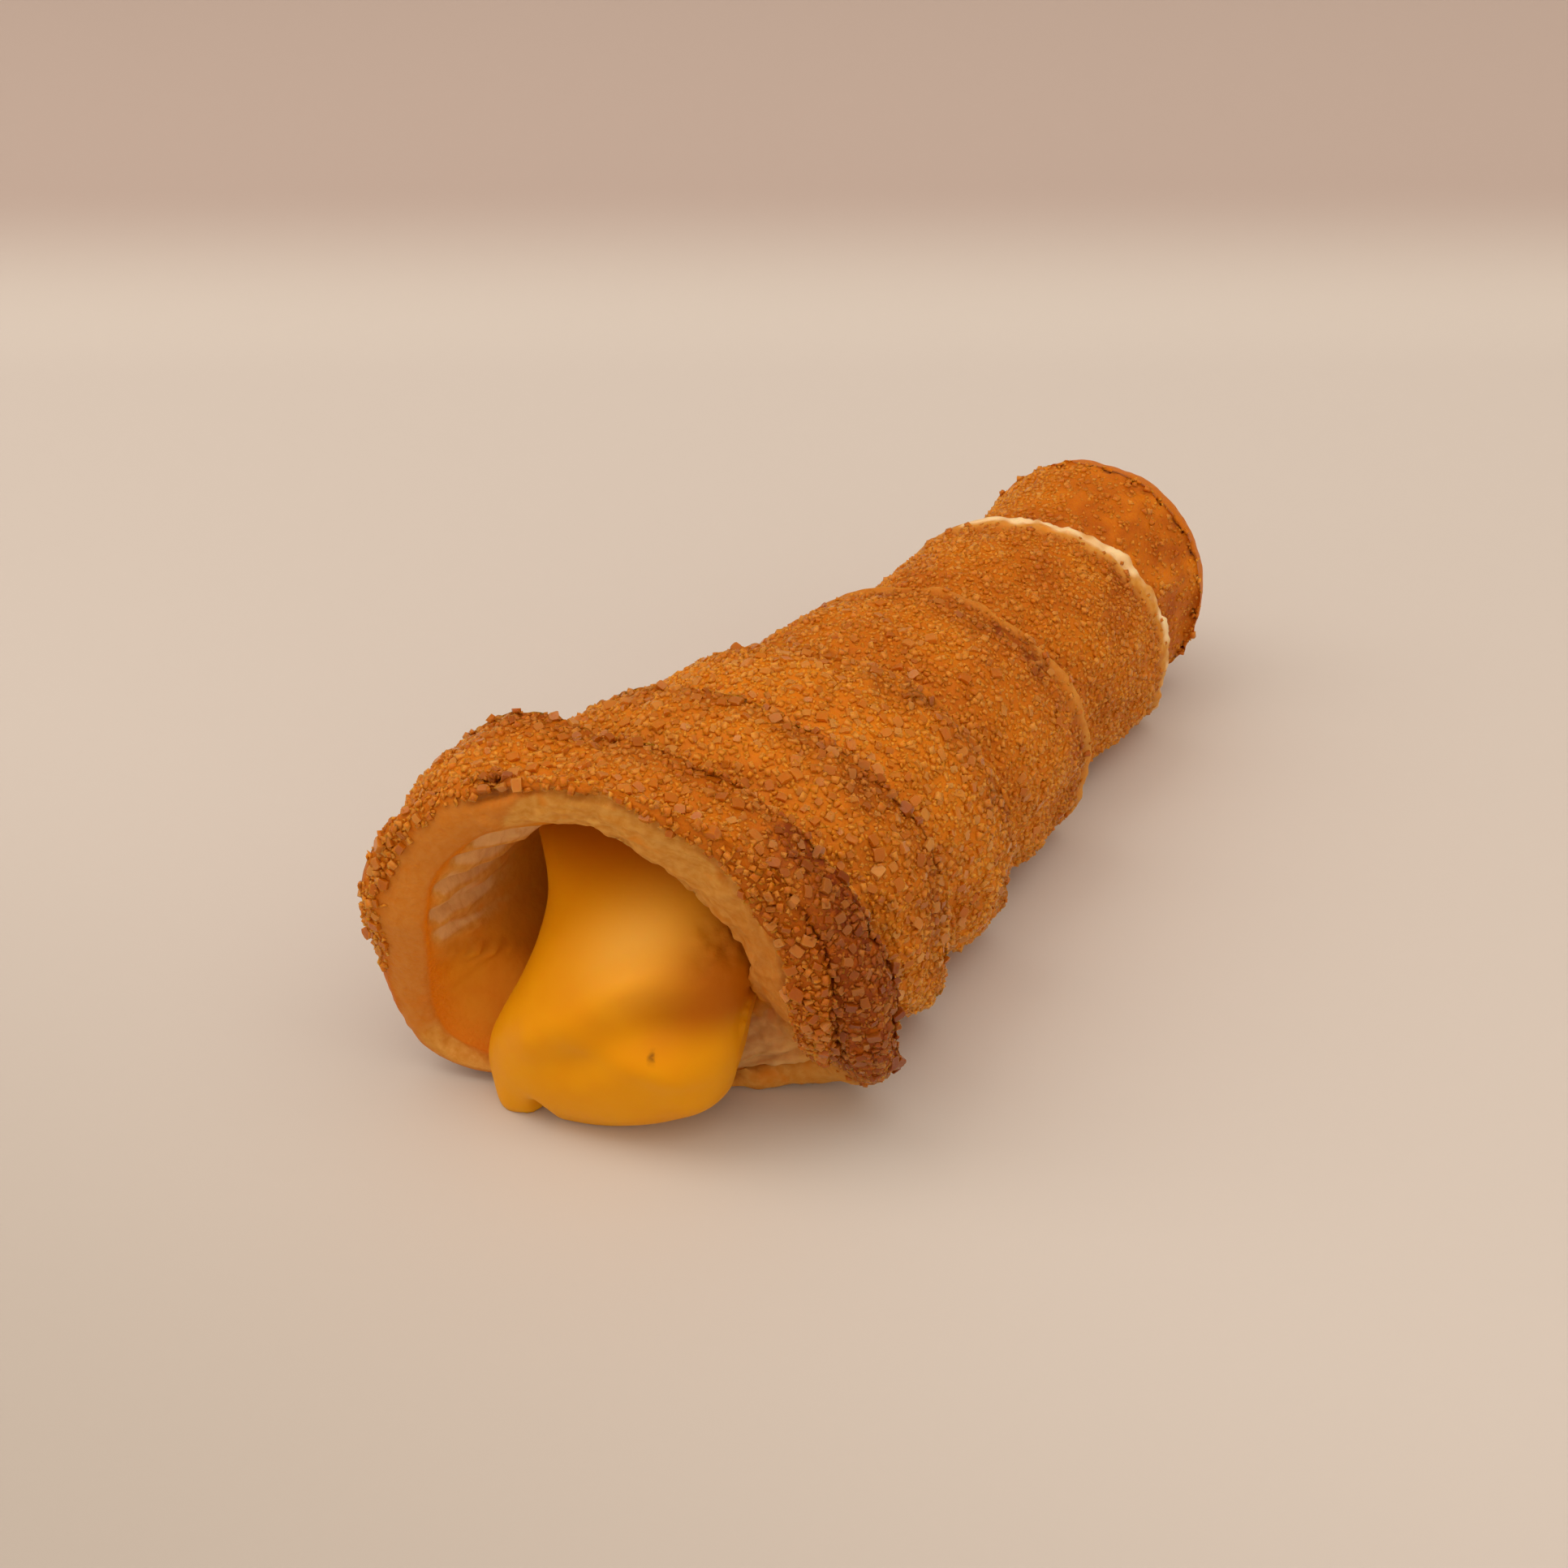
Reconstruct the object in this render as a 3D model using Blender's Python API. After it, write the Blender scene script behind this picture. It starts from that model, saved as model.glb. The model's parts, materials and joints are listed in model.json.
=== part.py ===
"""Cream-filled puff pastry horn: a helically wound pastry shell and its custard filling.

The horn lies on its side along Y with its mouth towards -Y, resting on the plane z = 0.
One strip of dough is wound in overlapping turns, and the rear edge of each turn stands
proud of the next one as a lip.  The custard runs through the bore, fills the right of the
mouth and bulges out over the lower rim on to the table.
"""
import itertools
import math

import bmesh
import bpy
from mathutils import Vector

MM = 0.001

# --- driving dimensions, in millimetres -------------------------------------------------

# Spacing of the lips, from the lip behind turn 1 to the rear end.
FIRST_LIP_Y = 1.4
TURN_WIDTHS = (11.2, 13.6, 18.2, 21.7, 24.0)
# Half width, half height and sideways centre of the section at each lip, mouth to rear.
LIP_HALF_WIDTHS = (20.2, 18.8, 17.2, 15.1, 13.7, 12.4)
LIP_HALF_HEIGHTS = (17.7, 16.8, 15.8, 14.4, 13.1, 11.9)
LIP_CENTRES_X = (0.7, 0.5, 0.4, -0.2, -1.5, -3.2)
REAR_END_Y = 85.0

# The lip stands this far above the valley behind it, at the first and the last turn.
LIP_STEP_FRONT = 2.0
LIP_STEP_REAR = 1.5
# The lip's steep rear face covers this share of the turn, so it isn't quite upright.
LIP_FACE_SHARE = 0.035
# The underside settles into the table by this share of the section's half height.
SETTLE_SHARE = 0.06
# The lip's top edge is rounded off by this share of the step, from this share of the climb.
LIP_ROUNDING = 0.12
LIP_ROUNDING_START = 0.9
# How sharply a turn climbs out of the valley before it flattens.
CLIMB_POWER = 1.9

# The mouth lies in an upright plane that is turned towards +X.
MOUTH_Y = -7.2
MOUTH_SLOPE = 0.28
MOUTH_CENTRE_X = -0.1
MOUTH_HALF_WIDTH = 18.7
MOUTH_HALF_HEIGHT = 15.1
MOUTH_CENTRE_Z = 17.4
# The outside rounds inwards to the mouth over this length, or over this share of the way
# to the first lip where that is shorter.
MOUTH_ROLL = 6.0
MOUTH_ROLL_LEAST = 1.6
MOUTH_ROLL_SHARE = 0.9
RIM_BULGE = 0.7

# The bore: half width, half height and centre at the mouth, then the wall behind it.
BORE_MOUTH_HALF_WIDTH = 13.0
BORE_MOUTH_HALF_HEIGHT = 11.3
BORE_MOUTH_CENTRE_X = -1.4
WALL = 3.4
BORE_ROLL = 9.0
REAR_ROUND = 3.2
REAR_INSET = 1.6
RIM_SET_BACK = 0.5

# Custard
FIT_GAP = 0.45
REAR_RECESS = 6.0
CUSTARD_REACH = 7.6
CUSTARD_STEP_OUT = 1.4
CUSTARD_HEART = (3.4, 13.0)
NECK_CENTRE = (3.8, 16.4)
NECK_HALF = (7.7, 8.8)
NECK_FALL = 9.0
BLOB_CENTRE = (3.0, 8.8)
BLOB_HALF = (9.7, 9.2)
BLEND_POWER = 7.0
NOSE_BLUNTNESS = 2.5
# The last section stands this share of the way out, short of the pointed end of the nose.
NOSE_END_SHARE = 0.995
# Half the length over which the custard steps from the bore's shape to the bulge's.
STEP_HALF_LENGTH = 0.15
GAP_DEPTH = 20.0
SLANT_DEPTH = 26.0

# --- mesh fineness ------------------------------------------------------------------------
AROUND = 44
CUSTARD_AROUND = 34
TURN_SHARES = (0.0, 0.09, 0.24, 0.46, 0.7, 0.88, 1.0 - LIP_FACE_SHARE)
WELD = 0.00012
FIRST_ROW_TURN = -1
LAST_ROW_TURN = 8
STRIP_END_ANGLE = 125.0
REAR_ROUND_STEPS = 3
BORE_STEPS = 15
# Above 1 crowds the bore's rings towards the mouth.
BORE_CROWDING = 1.25
CUSTARD_BORE_STEPS = 16
# Below 1 crowds the custard's sections towards the mouth.
CUSTARD_CROWDING = 0.8
NOSE_STEPS = 8
# Passes that settle the custard's slanted section against the bore.
FIT_PASSES = 3
# Turn counts between which a Y is looked up, and the number of halvings.
TURN_SEARCH = (-6.0, 12.0)
TURN_HALVINGS = 40

PASTRY_COLOUR = (0.48, 0.14, 0.015)
PASTRY_ROUGHNESS = 0.55
CUSTARD_COLOUR = (0.60, 0.24, 0.018)
CUSTARD_ROUGHNESS = 0.35


def smooth_through(values, position):
    """Read a smooth curve that passes through values at 0, 1, 2 and so on."""
    last = len(values) - 1
    index = min(max(int(math.floor(position)), 0), last - 1)
    part = position - index
    before = values[index - 1] if index > 0 else 2 * values[0] - values[1]
    after = values[index + 2] if index + 2 <= last else 2 * values[last] - values[last - 1]
    start, end = values[index], values[index + 1]
    if part < 0:
        return start + part * (end - start)
    if part > 1:
        return end + (part - 1) * (end - start)
    slope_in, slope_out = (end - before) / 2, (after - start) / 2
    square, cube = part * part, part ** 3
    return (
        (2 * cube - 3 * square + 1) * start
        + (cube - 2 * square + part) * slope_in
        + (3 * square - 2 * cube) * end
        + (cube - square) * slope_out
    )


def mix(a, b, share):
    """Blend from a to b."""
    return a + (b - a) * share


def clamp(value, low=0.0, high=1.0):
    """Hold a value between two limits."""
    return min(max(value, low), high)


LIP_YS = tuple(itertools.accumulate((FIRST_LIP_Y, *TURN_WIDTHS)))


def lip_y(turn):
    """Y of the helical lip line at a turn count, 1 being the top of the first lip."""
    return smooth_through(LIP_YS, turn - 1)


def turn_at(y):
    """Turn count at which the lip line passes a Y, found by bisection."""
    low, high = TURN_SEARCH
    for _ in range(TURN_HALVINGS):
        middle = (low + high) / 2
        if lip_y(middle) < y:
            low = middle
        else:
            high = middle
    return (low + high) / 2


def mouth_y(angle):
    """Y of the mouth's plane at an angle round the rim."""
    x = MOUTH_CENTRE_X + MOUTH_HALF_WIDTH * math.cos(angle)
    return MOUTH_Y + MOUTH_SLOPE * x


def body_section(y):
    """Centre x, half width and half height of the roll at its lips."""
    place = clamp(turn_at(y), 1.0, len(LIP_YS)) - 1
    return (
        smooth_through(LIP_CENTRES_X, place),
        smooth_through(LIP_HALF_WIDTHS, place),
        smooth_through(LIP_HALF_HEIGHTS, place),
    )


def valley_depth(share, y):
    """Depth below the lip line at a share of one turn, 0 and 1 being the valley's foot.

    The surface climbs steeply out of the valley, flattens towards the lip, rounds over it
    and drops down the lip's rear face.
    """
    step = mix(LIP_STEP_FRONT, LIP_STEP_REAR, clamp(y / REAR_END_Y))
    climb = clamp(share / (1.0 - LIP_FACE_SHARE))
    over = clamp((climb - LIP_ROUNDING_START) / (1.0 - LIP_ROUNDING_START))
    depth = (1.0 - climb) ** CLIMB_POWER + LIP_ROUNDING * over
    drop = clamp((share - 1.0 + LIP_FACE_SHARE) / LIP_FACE_SHARE)
    return step * mix(depth, 1.0, drop)


def first_lip_after_mouth(angle):
    """Y of the lip nearest behind the mouth at an angle round the roll."""
    lag = (math.pi / 2 - angle) / (2 * math.pi)
    front = mouth_y(angle)
    turn = math.ceil(turn_at(front) - lag)
    return lip_y(turn + lag)


def outer_point(angle, y, share, inset=0.0):
    """A point of the outside, in millimetres, drawn in towards the axis by an inset."""
    centre_x, half_width, half_height = body_section(y)
    depth = valley_depth(share, y) + inset
    floor_z = half_height * (1.0 - SETTLE_SHARE)
    body = Vector((
        centre_x + (half_width - depth) * math.cos(angle),
        y,
        max(floor_z + (half_height - depth) * math.sin(angle), 0.0),
    ))
    rim = Vector((
        MOUTH_CENTRE_X + MOUTH_HALF_WIDTH * math.cos(angle),
        y,
        MOUTH_CENTRE_Z + MOUTH_HALF_HEIGHT * math.sin(angle),
    ))
    front = mouth_y(angle)
    to_lip = first_lip_after_mouth(angle) - front
    roll = clamp(MOUTH_ROLL_SHARE * to_lip, MOUTH_ROLL_LEAST, MOUTH_ROLL)
    part = clamp((y - front) / roll)
    return rim.lerp(body, math.sqrt(1.0 - (1.0 - part) ** 2))


def bore_section(y):
    """Centre x, centre z, half width and half height of the bore."""
    centre_x, half_width, half_height = body_section(max(y, FIRST_LIP_Y))
    step = mix(LIP_STEP_FRONT, LIP_STEP_REAR, clamp(y / REAR_END_Y))
    centre_z = half_height * (1.0 - SETTLE_SHARE)
    inside = (centre_x, centre_z, half_width - step - WALL, half_height - step - WALL)
    narrow = min(BORE_MOUTH_HALF_WIDTH, inside[2]), min(BORE_MOUTH_HALF_HEIGHT, inside[3])
    mouth = (BORE_MOUTH_CENTRE_X, MOUTH_CENTRE_Z, *narrow)
    part = clamp((y - MOUTH_Y) / BORE_ROLL)
    part = part * part * (3 - 2 * part)
    return tuple(mix(a, b, part) for a, b in zip(mouth, inside))


def bore_point(angle, y):
    """A point of the bore's wall, in millimetres."""
    centre_x, centre_z, half_width, half_height = bore_section(y)
    return Vector((
        centre_x + half_width * math.cos(angle),
        y,
        centre_z + half_height * math.sin(angle),
    ))


def add_object(name, mesh_data, colour, roughness):
    """Turn a bmesh in millimetres into a named object in metres with its own material."""
    bmesh.ops.scale(mesh_data, vec=(MM, MM, MM), verts=mesh_data.verts)
    bmesh.ops.remove_doubles(mesh_data, verts=mesh_data.verts, dist=WELD)
    bmesh.ops.dissolve_degenerate(mesh_data, edges=mesh_data.edges, dist=WELD / 4)
    bmesh.ops.recalc_face_normals(mesh_data, faces=mesh_data.faces)
    bmesh.ops.triangulate(mesh_data, faces=mesh_data.faces)
    mesh = bpy.data.meshes.new(name)
    mesh_data.to_mesh(mesh)
    mesh_data.free()
    mesh.shade_smooth()
    material = bpy.data.materials.new(name)
    material.use_nodes = True
    shader = material.node_tree.nodes["Principled BSDF"]
    shader.inputs["Base Color"].default_value = (*colour, 1.0)
    shader.inputs["Roughness"].default_value = roughness
    shader.inputs["Metallic"].default_value = 0.0
    mesh.materials.append(material)
    thing = bpy.data.objects.new(name, mesh)
    bpy.context.scene.collection.objects.link(thing)
    return thing


def bridge(mesh_data, ring_a, ring_b):
    """Join two closed rings that have the same number of points."""
    count = len(ring_a)
    for i in range(count):
        j = (i + 1) % count
        mesh_data.faces.new((ring_a[i], ring_a[j], ring_b[j], ring_b[i]))


def wrap_column(angle):
    """Points of one lengthwise column of the outside, row by row along the helix."""
    lag = (math.pi / 2 - angle) / (2 * math.pi)
    front, shoulder = mouth_y(angle), REAR_END_Y - REAR_ROUND
    points = []
    for turn in range(FIRST_ROW_TURN, LAST_ROW_TURN):
        for share in TURN_SHARES:
            y = clamp(lip_y(turn + share + lag), front, shoulder)
            if y in (front, shoulder):
                share = (turn_at(y) - lag) % 1.0
            points.append(outer_point(angle, y, share))
    return points


def rear_rings(angles):
    """Rings that round the outside over on to the rear end."""
    rings = []
    for step in range(1, REAR_ROUND_STEPS + 1):
        bend = math.pi / 2 * step / REAR_ROUND_STEPS
        y = REAR_END_Y - REAR_ROUND * (1.0 - math.sin(bend))
        inset = REAR_INSET * (1.0 - math.cos(bend))
        ring = []
        for angle in angles:
            lag = (math.pi / 2 - angle) / (2 * math.pi)
            share = (turn_at(REAR_END_Y - REAR_ROUND) - lag) % 1.0
            ring.append(outer_point(angle, y, share, inset))
        rings.append(ring)
    return rings


def bore_rings(angles):
    """Rings of the bore from the rear end back to the mouth, each as slanted as it lies."""
    rings = []
    for step in range(BORE_STEPS + 1):
        part = (step / BORE_STEPS) ** BORE_CROWDING
        ring = []
        for angle in angles:
            y = mix(mouth_y(angle) + RIM_SET_BACK, REAR_END_Y - RIM_SET_BACK, part)
            ring.append(bore_point(angle, y))
        rings.append(ring)
    return rings[::-1]


def rim_ring(angles):
    """The ring of points that stands furthest forward on the mouth's rim."""
    ring = []
    for angle in angles:
        front = mouth_y(angle)
        point = outer_point(angle, front, 0.0).lerp(bore_point(angle, front), 0.5)
        point.y = front - RIM_BULGE
        ring.append(point)
    return ring


def make_shell():
    """Build the wound strip as one closed skin: outside, rear end, bore and mouth rim."""
    mesh_data = bmesh.new()
    angles = [math.radians(STRIP_END_ANGLE) - 2 * math.pi * i / AROUND for i in range(AROUND)]

    # Rows follow the lips, and once round the roll leads from one turn to the next, so the
    # last column joins the first one a whole turn further on.
    columns = [[mesh_data.verts.new(p) for p in wrap_column(angle)] for angle in angles]
    rows, per_turn = len(columns[0]), len(TURN_SHARES)
    for i, here in enumerate(columns):
        there = columns[(i + 1) % AROUND]
        jump = per_turn if i == AROUND - 1 else 0
        for row in range(rows - 1 - jump):
            mesh_data.faces.new(
                (here[row], here[row + 1], there[row + 1 + jump], there[row + jump])
            )

    rings = [[column[-1] for column in columns]]
    for ring in (*rear_rings(angles), *bore_rings(angles), rim_ring(angles)):
        rings.append([mesh_data.verts.new(point) for point in ring])
    rings.append([column[0] for column in columns])
    for ring_a, ring_b in zip(rings, rings[1:]):
        bridge(mesh_data, ring_a, ring_b)
    return mesh_data


def reach(start, direction, centre, half):
    """Distance from a point inside an ellipse to its edge along a direction."""
    ox, oz = (start[0] - centre[0]) / half[0], (start[1] - centre[1]) / half[1]
    dx, dz = direction[0] / half[0], direction[1] / half[1]
    square, cross, rest = dx * dx + dz * dz, ox * dx + oz * dz, ox * ox + oz * oz - 1.0
    return (-cross + math.sqrt(max(cross * cross - square * rest, 0.0))) / square


def custard_ring(station):
    """One cross section of the custard at a station, which is its Y at x = 0.

    Deep inside the custard fills the bore.  Towards the mouth it draws away from the left
    wall, and in front of the mouth it is a bulge that narrows to a rounded nose.
    """
    depth = station - MOUTH_Y
    filled = clamp(depth / GAP_DEPTH)
    filled = filled * filled * (3 - 2 * filled)
    slant = MOUTH_SLOPE * (1.0 - clamp(depth / SLANT_DEPTH))
    out = clamp(-depth / CUSTARD_REACH)
    size = max(1.0 - out ** NOSE_BLUNTNESS, 0.0) ** (1.0 / NOSE_BLUNTNESS)
    outside = depth < -CUSTARD_STEP_OUT
    start = (CUSTARD_HEART[0], mix(CUSTARD_HEART[1], BLOB_CENTRE[1], out))
    ring = []
    for i in range(CUSTARD_AROUND):
        angle = 2 * math.pi * i / CUSTARD_AROUND
        direction = (math.cos(angle), math.sin(angle))
        neck_half = (NECK_HALF[0] * size, NECK_HALF[1] * mix(1.0, size, 0.5))
        neck_centre = (NECK_CENTRE[0], NECK_CENTRE[1] - NECK_FALL * out)
        blob_half = (BLOB_HALF[0] * size, BLOB_HALF[1] * size)
        lengths = (
            reach(start, direction, neck_centre, neck_half),
            reach(start, direction, BLOB_CENTRE, blob_half),
        )
        length = sum(part ** BLEND_POWER for part in lengths) ** (1.0 / BLEND_POWER)
        if not outside:
            y = station
            for _ in range(FIT_PASSES):
                centre_x, centre_z, half_width, half_height = bore_section(y)
                fitted = (half_width - FIT_GAP, half_height - FIT_GAP)
                wall = reach(start, direction, (centre_x, centre_z), fitted)
                used = mix(min(length, wall), wall, filled)
                y = station + slant * (start[0] + used * direction[0])
            length = used
        x = start[0] + length * direction[0]
        z = start[1] + length * direction[1]
        ring.append(Vector((x, station + slant * x, max(z, 0.0))))
    return ring


def make_custard():
    """Build the custard as a skin drawn over its cross sections, closed at both ends."""
    mesh_data = bmesh.new()
    back = REAR_END_Y - REAR_RECESS
    stations = []
    for k in range(CUSTARD_BORE_STEPS + 1):
        stations.append(mix(back, MOUTH_Y, (k / CUSTARD_BORE_STEPS) ** CUSTARD_CROWDING))
    step_y = MOUTH_Y - CUSTARD_STEP_OUT
    stations += [step_y + STEP_HALF_LENGTH, step_y - STEP_HALF_LENGTH]
    for k in range(1, NOSE_STEPS + 1):
        bend = math.pi / 2 * k / NOSE_STEPS
        out = mix(CUSTARD_STEP_OUT, CUSTARD_REACH * NOSE_END_SHARE, math.sin(bend))
        stations.append(MOUTH_Y - out)
    rings = []
    for station in stations:
        rings.append([mesh_data.verts.new(point) for point in custard_ring(station)])
    for ring_a, ring_b in zip(rings, rings[1:]):
        bridge(mesh_data, ring_a, ring_b)
    mesh_data.faces.new(rings[0])
    mesh_data.faces.new(rings[-1])
    return mesh_data


def stand_over_origin(things):
    """Move all objects together so that the whole is centred and stands on z = 0."""
    corners = [vertex.co for thing in things for vertex in thing.data.vertices]
    low = [min(corner[axis] for corner in corners) for axis in range(3)]
    high = [max(corner[axis] for corner in corners) for axis in range(3)]
    shift = Vector((-(low[0] + high[0]) / 2, -(low[1] + high[1]) / 2, -low[2]))
    for thing in things:
        thing.location = shift


def main():
    """Model the shell and the custard and stand them over the origin."""
    for thing in list(bpy.data.objects):
        bpy.data.objects.remove(thing)
    shell = add_object("pastry_shell", make_shell(), PASTRY_COLOUR, PASTRY_ROUGHNESS)
    custard = add_object(
        "custard_filling", make_custard(), CUSTARD_COLOUR, CUSTARD_ROUGHNESS
    )
    stand_over_origin([shell, custard])


if __name__ == "__main__":
    main()
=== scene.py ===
"""A cream horn: wound puff pastry crusted with baked sugar, with custard bulging out of it.

The strip of dough is wound in overlapping turns round the lengthwise axis Y, with the wide
mouth towards -Y, and lies on the plane z = 0.  Shapes are worked out in millimetres in the
baker's own frame, with the mouth near y = -7 and the rear end at y = 86, and are then moved
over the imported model.
"""
from __future__ import annotations

import json
import logging
import math
from collections.abc import Iterable, Mapping
from dataclasses import dataclass, field
from enum import Enum

import bpy
import numpy as np
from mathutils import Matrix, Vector

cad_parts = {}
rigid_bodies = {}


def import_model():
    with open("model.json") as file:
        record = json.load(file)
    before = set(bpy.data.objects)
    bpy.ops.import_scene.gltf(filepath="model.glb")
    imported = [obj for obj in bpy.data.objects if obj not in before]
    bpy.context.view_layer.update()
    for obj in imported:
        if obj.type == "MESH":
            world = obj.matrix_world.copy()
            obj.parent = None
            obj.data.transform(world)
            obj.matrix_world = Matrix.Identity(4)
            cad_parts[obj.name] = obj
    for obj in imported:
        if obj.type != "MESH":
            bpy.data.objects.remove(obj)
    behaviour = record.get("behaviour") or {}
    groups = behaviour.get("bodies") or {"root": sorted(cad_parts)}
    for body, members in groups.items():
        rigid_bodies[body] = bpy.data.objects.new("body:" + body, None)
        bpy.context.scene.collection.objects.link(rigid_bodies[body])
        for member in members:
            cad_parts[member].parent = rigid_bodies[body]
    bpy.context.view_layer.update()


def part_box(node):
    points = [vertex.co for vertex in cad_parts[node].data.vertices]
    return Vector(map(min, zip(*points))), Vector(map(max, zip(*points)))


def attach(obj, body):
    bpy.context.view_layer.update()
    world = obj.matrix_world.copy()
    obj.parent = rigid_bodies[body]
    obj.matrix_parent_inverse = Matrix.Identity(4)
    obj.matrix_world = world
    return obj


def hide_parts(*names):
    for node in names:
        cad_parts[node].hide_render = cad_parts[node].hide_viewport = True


LOG = logging.getLogger("cream_horn")
MM = 0.001
SHELL_NODE = "pastry_shell"
CUSTARD_NODE = "custard_filling"

Colour = tuple[float, float, float]

# Height of one fold on the wall inside the mouth, and how much it climbs for each millimetre in.
FOLD_HEIGHT = 2.7
FOLD_SLOPE = 0.05


# --- small helpers ----------------------------------------------------------------------


def ease(value: np.ndarray | float, low: float, high: float) -> np.ndarray:
    """Rise smoothly from 0 at low to 1 at high."""
    part = np.clip((np.asarray(value, float) - low) / (high - low), 0.0, 1.0)
    return part * part * (3.0 - 2.0 * part)


def blend(a: np.ndarray | float, b: np.ndarray | float, share: np.ndarray | float) -> np.ndarray:
    """Blend from a to b by a share."""
    return a + (b - a) * share


def hump(value: np.ndarray, centre: float, width: float) -> np.ndarray:
    """A smooth hump of height 1 at a centre that fades within about two widths."""
    return np.exp(-(((value - centre) / width) ** 2))


def arc(angle: np.ndarray, start: float, end: float, soft: float) -> np.ndarray:
    """Mark the angles that lie between two bearings round the roll.

    Args:
        angle: Angles in radians, anticlockwise from +X as seen from the mouth.
        start: First bearing in degrees.
        end: Last bearing in degrees, larger than start.
        soft: Half the width of the faded edge, in degrees.

    Returns:
        1 inside the arc, 0 outside it.
    """
    middle = (start + end) / 2
    away = np.abs((np.degrees(angle) - middle + 180.0) % 360.0 - 180.0)
    half = (end - start) / 2
    return 1.0 - ease(away, half - soft, half + soft)


def squarish(wave: np.ndarray, power: float | np.ndarray) -> np.ndarray:
    """A sine or cosine to a power below or above 1, sign kept, which squares or sharpens a round."""
    return np.sign(wave) * np.abs(wave) ** power


@dataclass(frozen=True)
class EvenCurve:
    """A smooth curve that passes through its values at 0, 1, 2 and so on."""

    values: tuple[float, ...]

    def at(self, position: np.ndarray | float) -> np.ndarray:
        """Read the curve, straight on beyond either end."""
        known = np.asarray(self.values, float)
        padded = np.concatenate(
            ([2 * known[0] - known[1]], known, [2 * known[-1] - known[-2]])
        )
        position = np.asarray(position, float)
        index = np.clip(np.floor(position).astype(int), 0, len(known) - 2)
        part = position - index
        before, start, end, after = (padded[index + k] for k in range(4))
        slope_in, slope_out = (end - before) / 2, (after - start) / 2
        square, cube = part**2, part**3
        inside = (
            (2 * cube - 3 * square + 1) * start
            + (cube - 2 * square + part) * slope_in
            + (3 * square - 2 * cube) * end
            + (cube - square) * slope_out
        )
        rise = end - start
        straight = np.where(part < 0, start + part * rise, end + (part - 1) * rise)
        return np.where((part < 0) | (part > 1), straight, inside)


@dataclass(frozen=True)
class Grain:
    """Smooth seeded noise in space, from about -1 to 1.

    Attributes:
        size: Length of one lump, in millimetres.
        seed: Picks one pattern.
        octaves: Number of layers, each half as large and half as strong.
        stretch: Lengthens the lumps along X, Y and Z.
    """

    size: float
    seed: int
    octaves: int = 1
    stretch: tuple[float, float, float] = (1.0, 1.0, 1.0)

    def at(self, points: np.ndarray) -> np.ndarray:
        """Read the noise at points with three coordinates each."""
        total = np.zeros(points.shape[:-1])
        weight, size = 1.0, self.size
        for octave in range(self.octaves):
            place = points / (size * np.asarray(self.stretch))
            total += weight * self._layer(place, self.seed + 101 * octave)
            weight, size = weight / 2, size / 2
        return total

    @staticmethod
    def _hash(cell: np.ndarray, seed: int) -> np.ndarray:
        """Scramble whole-number cells into numbers from -1 to 1."""
        mixed = cell[..., 0] * 73856093 ^ cell[..., 1] * 19349663 ^ cell[..., 2] * 83492791
        mixed = (mixed ^ (seed * 40503)) & 0xFFFFFFFF
        mixed = ((mixed ^ (mixed >> 15)) * 2246822519) & 0xFFFFFFFF
        mixed = ((mixed ^ (mixed >> 13)) * 3266489917) & 0xFFFFFFFF
        mixed = mixed ^ (mixed >> 16)
        return mixed.astype(float) / 0x7FFFFFFF - 1.0

    def _layer(self, place: np.ndarray, seed: int) -> np.ndarray:
        """One layer of gradient noise."""
        cell = np.floor(place).astype(np.int64)
        inside = place - cell
        fade = inside**3 * (inside * (inside * 6 - 15) + 10)
        total = np.zeros(place.shape[:-1])
        for corner in range(8):
            offset = np.array([corner & 1, corner >> 1 & 1, corner >> 2 & 1])
            weight = np.prod(np.where(offset, fade, 1.0 - fade), axis=-1)
            slope = sum(
                self._hash(cell + offset, seed + 7919 * axis) * (inside - offset)[..., axis]
                for axis in range(3)
            )
            total += weight * slope
        return 1.4 * total


# --- the shape of the horn --------------------------------------------------------------


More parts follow.
